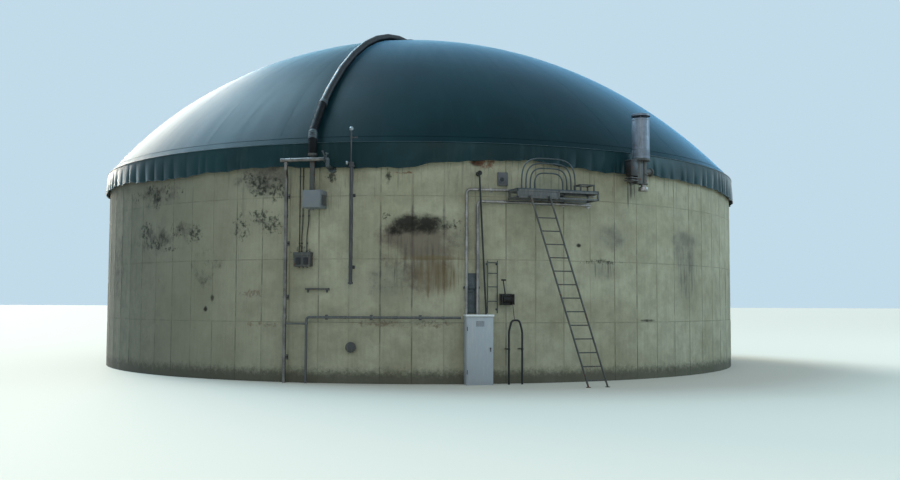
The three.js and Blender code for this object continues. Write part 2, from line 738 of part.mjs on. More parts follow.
/** Service platform with its floor, guard, step and ladder. */
function buildPlatform() {
  const seat = wallSeat(PLATFORM_BEARING);
  const floorTop = PLATFORM_TOP + PLANK_THICKNESS;
  const edge = 6;
  const plank = seatBlock(
    [PLATFORM_LOW + edge, PLATFORM_HIGH - edge],
    [PLATFORM_BACK + edge, PLATFORM_OUT - edge],
    [PLATFORM_TOP + GAP, floorTop],
  );
  addPiece('platform_frame', platformFrame(), 'dark_steel', seat);
  addPiece('platform_floor', plank, 'galvanised', seat);
  addPiece('platform_guard', platformGuard(floorTop), 'galvanised', seat);
  addPiece('platform_step', platformStep(floorTop + GAP), 'dark_steel', seat);
  addPiece('access_ladder', accessLadder(), 'dark_steel', seat);
}

/** Short ladder fixed to the wall beside the heating pipes. */
function buildShortLadder() {
  const half = 120;
  const out = 90;
  const base = CABINET_TOP + 30;
  const top = 2900;
  const parts = [];
  for (const x of [-half, half]) {
    parts.push(seatBar([x, out, base], [x, out, top], 14, 8));
    for (const z of [base + 90, top - 80]) {
      parts.push(seatBar([x, out, z], [x, GAP, z], 10, 8));
    }
  }
  for (const z of [1940, 2280, 2600, 2850]) {
    parts.push(seatBar([-half, out, z], [half, out, z], 11, 6));
  }
  addPiece('short_ladder', joined(...parts), 'galvanised', wallSeat(9.5));
}

/** Mixer gear: guide pole, sight glass, winch, and the hoop that the winch's rope is tied to. */
function buildMixerGear() {
  const poleBearing = 7.6;
  const poleTop = at(poleBearing, WALL_RADIUS + 168, 4920);
  const poleFoot = at(8.5, WALL_RADIUS + 195, CABINET_TOP + 2);
  const glandHeight = 4960;
  const glandOuter = at(poleBearing, WALL_RADIUS + 205, glandHeight);
  addPiece('guide_pole', joined(
    bar(poleFoot, poleTop, 22, 10),
    bar(glandOuter, at(poleBearing, APOTHEM + 8, glandHeight), 58, 14),
    wallClip(poleBearing, WALL_RADIUS + 168, poleTop.z, 40),
  ), 'black_rubber');

  addPiece('sight_glass', joined(
    seatBlock([-125, 125], [GAP, 60], [4690, 5010]),
    seatBar([-30, 30, 4830], [-30, 95, 4830], 78, 18),
  ), 'grey_plastic', wallSeat(11.0));

  const cheek = 22;
  const half = 150;
  const crankLow = 2080;
  const crankHigh = DRUM_HEIGHT + 455;
  const coils = [-80, -25, 30, 85].map((x) => (
    seatBar([x - 14, DRUM_OUT, DRUM_HEIGHT], [x + 14, DRUM_OUT, DRUM_HEIGHT], 125, 14)
  ));
  addPiece('mixer_winch', joined(
    seatBlock([-half, half], [GAP, 40], [1850, 2120]),
    seatBar([-half, DRUM_OUT, DRUM_HEIGHT], [half, DRUM_OUT, DRUM_HEIGHT], 85, 14),
    seatBlock([-half, cheek - half], [30, 290], [1860, 2100]),
    seatBlock([half - cheek, half], [30, 290], [1860, 2110]),
    ...coils,
    seatBar([-175, DRUM_OUT, DRUM_HEIGHT], [-128, DRUM_OUT, DRUM_HEIGHT], 26, 8),
    seatBar([-170, DRUM_OUT, DRUM_HEIGHT], [-170, 235, 2100], 16, 8),
    seatBar([-60, DRUM_OUT, DRUM_HEIGHT], [-60, 225, crankLow + 10], 17, 8),
    seatBar([-60, 225, crankLow], [-120, HOOP_OUT, crankHigh], 17, 8),
    seatBar([-165, HOOP_OUT, crankHigh], [-55, HOOP_OUT, crankHigh], 22, 8),
  ), 'dark_steel', wallSeat(WINCH_BEARING));

  const spread = 165;
  const shoulder = 95;
  const hoopTop = 1495;
  const clampHeights = [800, 845];
  addPiece('rope_hoop', joined(
    pipe(rounded([
      seatPoint(-spread, HOOP_OUT, 0),
      seatPoint(-spread, HOOP_OUT, 1240),
      seatPoint(-shoulder, HOOP_OUT, hoopTop),
      seatPoint(shoulder, HOOP_OUT, hoopTop),
      seatPoint(spread, HOOP_OUT, 1240),
      seatPoint(spread, HOOP_OUT, 0),
    ], 70, 3), 26, 8),
    seatBlock([-spread - 20, 20 - spread], [GAP, HOOP_OUT], clampHeights),
    seatBlock([spread - 20, spread + 20], [GAP, HOOP_OUT], clampHeights),
    seatBar([-30, HOOP_OUT, hoopTop - 5], [-30, 200, 1850 - GAP], 9, 6),
  ), 'black_rubber', wallSeat(HOOP_BEARING));
}

/** Blanked port low on the wall. */
function buildWallPort() {
  const height = 850;
  addPiece('wall_port', joined(
    seatBar([0, GAP, height], [0, 70, height], 92, 20),
    seatBar([0, 60, height], [0, 95, height], 125, 20),
  ), 'dark_steel', wallSeat(-9.5));
}

/** Pressure relief device: flanged body on the wall, tall vessel, rain cap and liquid trap. */
function buildRelief() {
  const seat = wallSeat(RELIEF_BEARING);
  const out = RELIEF_OUT;
  const x = COLUMN_ACROSS;
  const stub = 5040;
  const outlet = 5190;
  const boxLeft = -430;
  const bodyLeft = -205;
  const depth = (half) => [out - half, out + half];
  addPiece('relief_body', joined(
    seatBar([0, out, VESSEL_BASE - 50], [0, out, VESSEL_BASE], 228, 20),
    seatBar([x, out, COLUMN_FOOT], [x, out, VESSEL_BASE], 88, 16),
    seatBar([x, out, stub], [x, GAP, stub], 80, 16),
    seatBar([x, 28, stub], [x, GAP, stub], 140, 20),
    seatBlock([bodyLeft, -20], depth(95), [COLUMN_FOOT + 10, VESSEL_BASE - 20]),
    seatBlock([-20, x], depth(60), [COLUMN_FOOT + 40, outlet + 40]),
    seatBlock([boxLeft, bodyLeft], depth(110), [stub + 10, VESSEL_BASE - 45]),
    seatBlock([boxLeft - 10, bodyLeft], depth(130), [stub - 115, stub - 85]),
    seatBlock([boxLeft - 10, bodyLeft], depth(130), [stub - 55, stub - 25]),
    seatBar([-330, out, stub - 100], [-330, out, stub + 20], 60, 12),
    seatBar([x, out, outlet], [330, out, outlet], 80, 14),
    seatBar([300, out, outlet], [345, out, outlet], 105, 16),
  ), 'galvanised', seat);

  addPiece('relief_trap', joined(
    seatBar([x, out, COLUMN_FOOT - 70], [x, out, COLUMN_FOOT - GAP], 62, 16),
    seatBar([x, out, COLUMN_FOOT - 160], [x, out, COLUMN_FOOT - 60], 120, 18),
  ), 'stainless', seat);

  const neck = VESSEL_TOP + 60;
  addPiece('relief_vessel', joined(
    seatBar([0, out, VESSEL_BASE + GAP], [0, out, VESSEL_TOP], VESSEL_RADIUS, 24),
    seatBar([0, out, VESSEL_TOP - 10], [0, out, neck], 40, 12),
  ), 'stainless', seat);

  const capRim = neck + 45;
  addPiece('relief_cap', joined(
    seatBar([0, out, neck + GAP], [0, out, capRim], 238, 24),
    seatBar([0, out, capRim - 5], [0, out, capRim + 35], 200, 24, 60),
  ), 'stainless', seat);
}

buildTank();
buildRoof();
buildAirLine();
buildElectrics();
buildGasPipes();
buildStandpipe();
buildLowPipe();
buildHeating();
buildPlatform();
buildShortLadder();
buildMixerGear();
buildWallPort();
buildRelief();

export default digester;
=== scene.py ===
"""Finishes a biogas digester: a painted concrete tank under a cambered gas membrane.

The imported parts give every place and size. This script dresses them, and models what hangs,
folds, bolts or shows its make close up. Metres, +Z up, the tank axis on Z, the service side
towards -Y. Fittings are drawn on wall seats: across to the right, out from the wall, and up.
"""

import logging
import math
import random
from bisect import bisect_right
from dataclasses import dataclass, field
from enum import Enum
from functools import cache
from itertools import product
from operator import itemgetter
from typing import Callable, Iterable, Sequence

import bmesh
import bpy
from bpy.types import Node, NodeSocket, NodeTree
from mathutils import Matrix, Quaternion, Vector


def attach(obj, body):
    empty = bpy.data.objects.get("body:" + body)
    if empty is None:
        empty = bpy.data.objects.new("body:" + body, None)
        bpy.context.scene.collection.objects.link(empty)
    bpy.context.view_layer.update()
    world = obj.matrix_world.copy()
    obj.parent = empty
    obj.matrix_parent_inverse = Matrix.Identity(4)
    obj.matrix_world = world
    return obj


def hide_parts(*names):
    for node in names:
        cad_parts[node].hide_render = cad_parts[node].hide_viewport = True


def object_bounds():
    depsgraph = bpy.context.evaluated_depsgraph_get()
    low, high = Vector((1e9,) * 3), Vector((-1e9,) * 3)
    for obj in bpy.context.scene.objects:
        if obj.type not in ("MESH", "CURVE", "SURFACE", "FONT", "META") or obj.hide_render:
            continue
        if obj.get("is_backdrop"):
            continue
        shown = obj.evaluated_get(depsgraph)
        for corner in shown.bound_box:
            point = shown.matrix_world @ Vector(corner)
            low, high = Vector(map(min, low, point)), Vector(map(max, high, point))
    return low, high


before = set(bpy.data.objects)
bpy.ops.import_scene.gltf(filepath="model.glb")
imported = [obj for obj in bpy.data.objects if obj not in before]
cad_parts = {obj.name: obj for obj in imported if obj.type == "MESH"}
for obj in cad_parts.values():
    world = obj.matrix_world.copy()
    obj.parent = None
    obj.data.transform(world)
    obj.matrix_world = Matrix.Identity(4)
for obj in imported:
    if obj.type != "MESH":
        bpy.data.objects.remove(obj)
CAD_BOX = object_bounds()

log = logging.getLogger("digester")

# A place is a tuple or a vector of three numbers
Point = Sequence[float]
Span = tuple[float, float]

MM = 0.001

# Tank and roof, as the parts have them
WALL_RADIUS = 10.0
PANEL_COUNT = 84
PANEL_PHASE = -1.33
PANEL_ANGLE = 360.0 / PANEL_COUNT
PANEL_WIDTH = 0.75
LIFT_FIRST = 1.43
LIFT_PITCH = 1.497
WALL_TOP = 5.7
APOTHEM = WALL_RADIUS * math.cos(math.radians(PANEL_ANGLE / 2))
RIM_RADIUS = 10.07
RIM_HEIGHT = 5.68
ROOF_RISE = 4.73
ROOF_LEAN = 0.18
ROOF_RADIUS = (RIM_RADIUS**2 + ROOF_RISE**2) / (2 * ROOF_RISE)
ROOF_CENTRE = RIM_HEIGHT + ROOF_RISE - ROOF_RADIUS
ROOF_EDGE = math.asin(RIM_RADIUS / ROOF_RADIUS)
STANDPIPE_OUT = 0.21
CABINET_TOP = 1.63

OBJECT_COORDINATES = 3

# Gap kept where one piece ends on another
FIT = 0.3 * MM

# Settings of nodes that come often, and sockets of the colour mixing node
USUAL = {"MapRange": {"interpolation_type": "SMOOTHSTEP"}, "Mix": {"data_type": "RGBA"}}
TIMES = {"operation": "MULTIPLY"}
PLUS_TIMES = {"operation": "MULTIPLY_ADD"}
LINEAR = {"interpolation_type": "LINEAR"}
MIX_FACTOR = 0
MIX_A = 6
MIX_B = 7
MIX_RESULT = 2


def linear(code: str) -> tuple[float, float, float, float]:
    """Turns an sRGB hex colour to linear.

    Args:
        code: The colour, such as "#1f4a45".

    Returns:
        Red, green, blue and a full alpha.
    """
    parts = [int(code[i : i + 2], 16) / 255 for i in (1, 3, 5)]
    red, green, blue = [c / 12.92 if c <= 0.04045 else ((c + 0.055) / 1.055) ** 2.4 for c in parts]
    return (red, green, blue, 1.0)


def fill(node: Node, inputs: dict | Sequence) -> None:
    """Gives a node its inputs.

    Args:
        node: The node.
        inputs: Values, or the outputs that feed them, in the sockets' order or by name or number.
    """
    for key, value in inputs.items() if isinstance(inputs, dict) else enumerate(inputs):
        if isinstance(value, NodeSocket):
            node.id_data.links.new(value, node.inputs[key])
        else:
            node.inputs[key].default_value = value


def add(tree: NodeTree, kind: str, inputs: dict | Sequence, out: int = 0, **settings) -> NodeSocket:
    """Adds a node with its settings and links.

    Args:
        tree: The material's node tree.
        kind: The node's type, without its prefix.
        inputs: As fill takes them.
        out: Which of its outputs is wanted.
        settings: The node's own properties, where they aren't its usual ones.

    Returns:
        The wanted output.
    """
    node = tree.nodes.new("ShaderNode" + kind)
    for name, value in {**USUAL.get(kind, {}), **settings}.items():
        setattr(node, name, value)
    fill(node, inputs)
    return node.outputs[out]


def cloudy(place: NodeSocket, size_mm: float, detail: float = 4.0, rough: float = 0.6) -> dict:
    """Inputs of a noise whose features have about a real size in millimetres."""
    return {"Vector": place, "Scale": 1.0 / (size_mm * MM), "Detail": detail, "Roughness": rough}


def upright(tree: NodeTree, place: NodeSocket, share: float, size_mm: float) -> NodeSocket:
    """Noise drawn out upright, with heights shrunk to a share before it is read."""
    tall = add(tree, "Mapping", {"Vector": place, "Scale": (1.0, 1.0, share)})
    return add(tree, "TexNoise", cloudy(tall, size_mm))


def over(factor: NodeSocket | float, below: NodeSocket | str, above: NodeSocket | str) -> dict:
    """Inputs of a mix of two colours, each an output or a hex code."""
    below, above = (linear(c) if isinstance(c, str) else c for c in (below, above))
    return {MIX_FACTOR: factor, MIX_A: below, MIX_B: above}


def relief(tree: NodeTree, height: NodeSocket, deep: float, strength: float) -> NodeSocket:
    """The normal of a surface that a pattern raises, at most so deep in metres."""
    return add(tree, "Bump", {"Height": height, "Strength": strength, "Distance": deep})


def panel_middle(bearing: float) -> float:
    """Bearing of the middle of the flat wall panel that holds a bearing."""
    return PANEL_PHASE + (math.floor((bearing - PANEL_PHASE) / PANEL_ANGLE) + 0.5) * PANEL_ANGLE


def around(bearing: float, radius: float, up: float) -> Point:
    """A place given by its bearing, radius and height, as across, out and up from the axis."""
    turn = math.radians(bearing)
    return (radius * math.sin(turn), radius * math.cos(turn), up)


def roof_place(share: float, lift: float = 0.0) -> Span:
    """Radius and height on the roof, at a share of the way from the crown to the rim."""
    reach = ROOF_RADIUS + lift
    return (reach * math.sin(ROOF_EDGE * share), ROOF_CENTRE + reach * math.cos(ROOF_EDGE * share))


def roof_lean(up: float) -> float:
    """How far the inflated roof leans towards -X at a height."""
    share = (up - RIM_HEIGHT) / ROOF_RISE
    return ROOF_LEAN * share * (2 - share)


def wall_seat(bearing: float) -> Matrix:
    """The seat on the flat wall panel that holds a bearing."""
    middle = panel_middle(bearing)
    across = APOTHEM * math.tan(math.radians(bearing - middle))
    return Matrix.Rotation(math.radians(middle), 4, "Z") @ Matrix.Translation((across, -APOTHEM, 0))


AXIS_SEAT = Matrix.Identity(4)
UP = Vector((0, 0, 1))

# Ways as fittings are drawn: across, out and up
ACROSS = (1, 0, 0)
OUTWARD = (0, 1, 0)
UPWARD = (0, 0, 1)


def rounded(points: Sequence[Point], bend: float, steps: int = 6) -> list[Point]:
    """Rounds the inner corners of a route.

    Args:
        points: The route's corners.
        bend: How far from a corner its bend starts.
        steps: Number of stretches in each bend.

    Returns:
        The route with its bends.
    """
    corners = [Vector(p) for p in points]
    route = [corners[0]]
    for before, corner, after in zip(corners, corners[1:], corners[2:]):
        inward, outward = before - corner, after - corner
        reach = min(bend, inward.length * 0.49, outward.length * 0.49)
        start = corner + inward.normalized() * reach
        end = corner + outward.normalized() * reach
        for i in range(steps + 1):
            t = i / steps
            route.append(start * (1 - t) ** 2 + corner * 2 * t * (1 - t) + end * t**2)
    route.append(corners[-1])
    return route


def arc_route(start: float, end: float, radius: float, up: float, step: float = 1.0) -> list[Point]:
    """Points along the tank at one height and radius, one every step degrees."""
    count = max(1, round(abs(end - start) / step))
    return [around(start + (end - start) * i / count, radius, up) for i in range(count + 1)]


def placed(name: str, data: bpy.types.ID, place: Matrix = AXIS_SEAT) -> bpy.types.Object:
    """Makes a new object of the scene.

    Args:
        name: Its name.
        data: Its mesh, light or camera.
        place: Where it stands.

    Returns:
        The object.
    """
    made = bpy.data.objects.new(name, data)
    made.matrix_world = place
    bpy.context.scene.collection.objects.link(made)
    return made


class Solid:
    """A mesh in the making, shaped with bmesh operators on a seat."""

    def __init__(self, shape: Callable | None = None, seat: Matrix = AXIS_SEAT) -> None:
        """Starts a mesh.

        Args:
            shape: A method that fills it.
            seat: Where its places are measured from.
        """
        self.bm = bmesh.new()
        self.seat = seat
        if shape:
            shape(self)

    def world(self, place: Point) -> Vector:
        """The place in the shared frame of a place given across, out and up."""
        across, out, up = place
        return self.seat @ Vector((across, -out, up))

    def block(self, across: Span, out: Span, up: Span, bevel: float = 0.0) -> None:
        """Adds a box.

        Args:
            across: Its range across the seat.
            out: Its range out from the wall.
            up: Its range in height.
            bevel: Width of the rounding of its edges.
        """
        spans = (across, (-out[1], -out[0]), up)
        size = Vector([high - low for low, high in spans])
        middle = Vector([(high + low) / 2 for low, high in spans])
        place = self.seat @ Matrix.Translation(middle) @ Matrix.Diagonal((*size, 1.0))
        verts = bmesh.ops.create_cube(self.bm, size=1.0, matrix=place)["verts"]
        if bevel:
            self.round_edges({e for v in verts for e in v.link_edges}, bevel)

    def round_edges(self, edges: Iterable[bmesh.types.BMEdge], width: float) -> None:
        """Rounds edges in two steps.

        Args:
            edges: The edges.
            width: Width of the rounding.
        """
        bmesh.ops.bevel(
            self.bm, geom=list(edges), offset=width, offset_type="OFFSET", segments=2,
            profile=0.5, affect="EDGES", material=-1,
        )

    def rod(
        self, start: Point, end: Point, radius: float, sides: int = 24, bevel: float = 0.0,
        end_radius: float | None = None,
    ) -> None:
        """Adds a round bar between two places.

        Args:
            start: The middle of its first end.
            end: The middle of its last end.
            radius: Its radius at the start.
            sides: Number of its sides.
            bevel: Width of the rounding of its end edges.
            end_radius: Its radius at the end, if it tapers.
        """
        a, b = self.world(start), self.world(end)
        turn = (b - a).to_track_quat("Z", "Y").to_matrix().to_4x4()
        verts = bmesh.ops.create_cone(
            self.bm, cap_ends=True, segments=sides, radius1=radius,
            radius2=radius if end_radius is None else end_radius, depth=(b - a).length,
            matrix=Matrix.Translation((a + b) / 2) @ turn,
        )["verts"]
        if bevel:
            faces = {f for v in verts for f in v.link_faces if len(f.verts) > 4}
            self.round_edges({e for f in faces for e in f.edges}, bevel)

    def posts(self, across: float, out: float, *rows: Sequence[float]) -> None:
        """Adds upright bars on one axis, each a row of two heights, then radius, sides and bevel."""
        for low, high, *shape in rows:
            self.rod((across, out, low), (across, out, high), *shape)

    def pins(self, across: float, up: float, *rows: Sequence[float]) -> None:
        """Adds bars on one axis out of the wall, each a row that starts with two distances."""
        for near, far, *shape in rows:
            self.rod((across, near, up), (across, far, up), *shape)

    def bars(self, out: float, up: float, *rows: Sequence[float]) -> None:
        """Adds bars on one axis along the wall, each a row that starts with two places across."""
        for left, right, *shape in rows:
            self.rod((left, out, up), (right, out, up), *shape)

    def extrude(self, edges: Sequence[bmesh.types.BMEdge]) -> tuple[list, list]:
        """Extrudes edges in place.

        Args:
            edges: The edges.

        Returns:
            The new vertices and the new far edges.
        """
        grown = bmesh.ops.extrude_edge_only(self.bm, edges=edges)["geom"]
        verts = [g for g in grown if isinstance(g, bmesh.types.BMVert)]
        fresh = set(verts)
        ends = [g for g in grown if isinstance(g, bmesh.types.BMEdge) and fresh.issuperset(g.verts)]
        return verts, ends

    def spin(self, outline: Sequence, centre: Vector, axis: Vector, sides: int) -> None:
        """Spins an outline once round an axis and closes the turn.

        Args:
            outline: Its vertices and edges.
            centre: A place on the axis.
            axis: The axis's way.
            sides: Number of steps in the turn.
        """
        bmesh.ops.spin(
            self.bm, geom=outline, cent=centre, axis=axis, angle=2 * math.pi, steps=sides,
            use_merge=True, use_duplicate=False,
        )

    def thicken(self, depth: float) -> None:
        """Gives an open sheet its thickness."""
        bmesh.ops.recalc_face_normals(self.bm, faces=self.bm.faces)
        bmesh.ops.solidify(self.bm, geom=list(self.bm.faces), thickness=depth)

    def sweep(self, points: Sequence[Point], radius: float | Sequence[float], sides: int = 16) -> None:
        """Adds a round bar that follows a route.

        Args:
            points: The route.
            radius: Its radius, or one radius for each point.
            sides: Number of its sides.
        """
        route = [self.world(p) for p in points]
        radii = [radius] * len(route) if isinstance(radius, (int, float)) else list(radius)
        ways = []
        for i in range(len(route)):
            ways.append((route[min(i + 1, len(route) - 1)] - route[max(i - 1, 0)]).normalized())
        turn = ways[0].to_track_quat("Z", "Y")
        place = Matrix.Translation(route[0]) @ turn.to_matrix().to_4x4() @ Matrix.Scale(radii[0], 4)
        ring = bmesh.ops.create_circle(
            self.bm, cap_ends=False, radius=1.0, segments=sides, matrix=place,
        )["verts"]
        edges = list({e for v in ring for e in v.link_edges})
        ends = [ring]
        for i in range(1, len(route)):
            ring, edges = self.extrude(edges)
            turn = ways[i - 1].rotation_difference(ways[i]) @ turn
            after = Matrix.Translation(route[i]) @ turn.to_matrix().to_4x4() @ Matrix.Scale(radii[i], 4)
            bmesh.ops.transform(self.bm, matrix=after @ place.inverted(), verts=ring)
            place = after
        ends.append(ring)
        for end in ends:
            bmesh.ops.contextual_create(self.bm, geom=end)

    def turn(self, profile: Sequence[Span], start: Point, end: Point, sides: int = 32) -> None:
        """Adds a turned shape.

        Args:
            profile: Its outline as distance along the axis and radius, from axis to axis.
            start: Where the axis starts.
            end: A further place on the axis.
            sides: Number of its sides.
        """
        a, b = self.world(start), self.world(end)
        turn = (b - a).to_track_quat("Z", "Y").to_matrix().to_4x4()
        place = Matrix.Translation(a) @ turn
        verts = [self.bm.verts.new(place @ Vector((radius, 0, along))) for along, radius in profile]
        edges = [self.bm.edges.new(pair) for pair in zip(verts, verts[1:])]
        self.spin(verts + edges, a, (b - a).normalized(), sides)
        self.weld()

    def weld(self, distance: float = 1e-5) -> None:
        """Merges vertices that lie on each other."""
        bmesh.ops.remove_doubles(self.bm, verts=self.bm.verts, dist=distance)

    def bolt(self, place: Point, way: Point, size: float) -> None:
        """Adds a hexagon bolt head on its washer.

        Args:
            place: Where the washer sits.
            way: Which way the head points, across, out and up.
            size: Radius of the head.
        """
        base, lift = Vector(place), Vector(way).normalized()
        self.rod(base, base + lift * size * 0.25, size * 1.45, sides=16)
        self.rod(base + lift * size * 0.2, base + lift * size * 1.15, size, sides=6)

    def bolts(self, across: Iterable[float], out: float, up: Iterable[float], size: float) -> None:
        """Adds bolts in rows and columns that point out of the wall."""
        for place in product(across, (out,), up):
            self.bolt(place, OUTWARD, size)

    def bolt_ring(self, middle: Point, way: Point, radius: float, count: int, size: float) -> None:
        """Adds bolts in a circle.

        Args:
            middle: The circle's middle.
            way: Which way the heads point.
            radius: The circle's radius.
            count: Number of bolts.
            size: Radius of each head.
        """
        lift = Vector(way).normalized()
        aside = lift.orthogonal().normalized()
        for i in range(count):
            arm = Quaternion(lift, 2 * math.pi * (i + 0.5) / count) @ aside
            self.bolt(Vector(middle) + arm * radius, way, size)

    def piece(
        self, name: str, finish: "Finish", replaces: Iterable[str] = (), sharp: float = 32.0,
    ) -> bpy.types.Object:
        """Turns the shape into a finished piece that rides on the tank.

        Args:
            name: The piece's name.
            finish: Its finish.
            replaces: The parts that it stands for.
            sharp: Angle in degrees over which an edge stays crisp.

        Returns:
            The piece's object.
        """
        bmesh.ops.recalc_face_normals(self.bm, faces=self.bm.faces)
        mesh = bpy.data.meshes.new(name)
        self.bm.to_mesh(mesh)
        self.bm.free()
        mesh.polygons.foreach_set("use_smooth", [True] * len(mesh.polygons))
        mesh.set_sharp_from_angle(angle=math.radians(sharp))
        mesh.materials.append(finish.material())
        made = placed(name, mesh)
        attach(made, "root")
        if replaces:
            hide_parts(*replaces)
        log.info("%s: %d faces", name, len(mesh.polygons))
        return made


@dataclass(frozen=True)
class Finish:
    """A finish, made once as a procedural material."""

    name: str
    slot: str

    @cache
    def material(self) -> bpy.types.Material:
        """Makes the material at its first use.

        Returns:
            The material.
        """
        made = bpy.data.materials.new(self.name)
        made.use_nodes = True
        tree = made.node_tree
        dressed = self.dress(tree, add(tree, "TexCoord", (), OBJECT_COORDINATES))
        fill(tree.nodes["Principled BSDF"], dressed)
        return made

    def dress(self, tree: NodeTree, place: NodeSocket) -> dict:
        """Builds the finish's patterns.

        Args:
            tree: The material's node tree.
            place: The place on the object.

        Returns:
            The shader's inputs.
        """
        raise NotImplementedError

    def clothe(self, node: str) -> None:
        """Puts the finish on a part that keeps its shape."""
        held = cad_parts[node]
        held.data.materials.clear()
        held.data.materials.append(self.material())


@dataclass(frozen=True)
class StainLook:
    """How a kind of stain looks, and how it grows into one of the paint's patterns.

    The gain is how far a stain lifts the pattern, the fade is how soft its edge is, and the
    cover is how much of the paint its densest part hides.
    """

    colour: str
    pattern: str
    gain: float
    fade: float
    cover: float


class StainKind(Enum):
    """The kinds of stain on the wall."""

    DAMP = StainLook("#5c5851", "patch", 0.48, 0.5, 0.78)
    WASH = StainLook("#5a4a41", "patch", 0.6, 0.52, 0.72)
    RUN = StainLook("#45413a", "streak", 0.3, 0.32, 0.72)
    MOSS = StainLook("#6b5a4c", "speck", 0.34, 0.2, 0.8)
    SPECK = StainLook("#1d211b", "speck", 0.35, 0.17, 0.85)
    SOOT = StainLook("#17150f", "patch", 0.64, 0.46, 0.95)
    RUST = StainLook("#674331", "speck", 0.36, 0.14, 0.85)
    SILT = StainLook("#68583b", "streak", 0.42, 0.4, 0.66)


@dataclass(frozen=True)
class Stain:
    """A stain's bearing in degrees, height and half sizes in metres, and strength."""

    bearing: float
    height: float
    half_width: float
    half_height: float
    strength: float = 1.0


# Level that a pattern has to reach with a stain's help before it shows, and the shares of a
# stain's size between which its help fades away
STAIN_LEVEL = 0.76
STAIN_FADE = (0.2, 1.35)

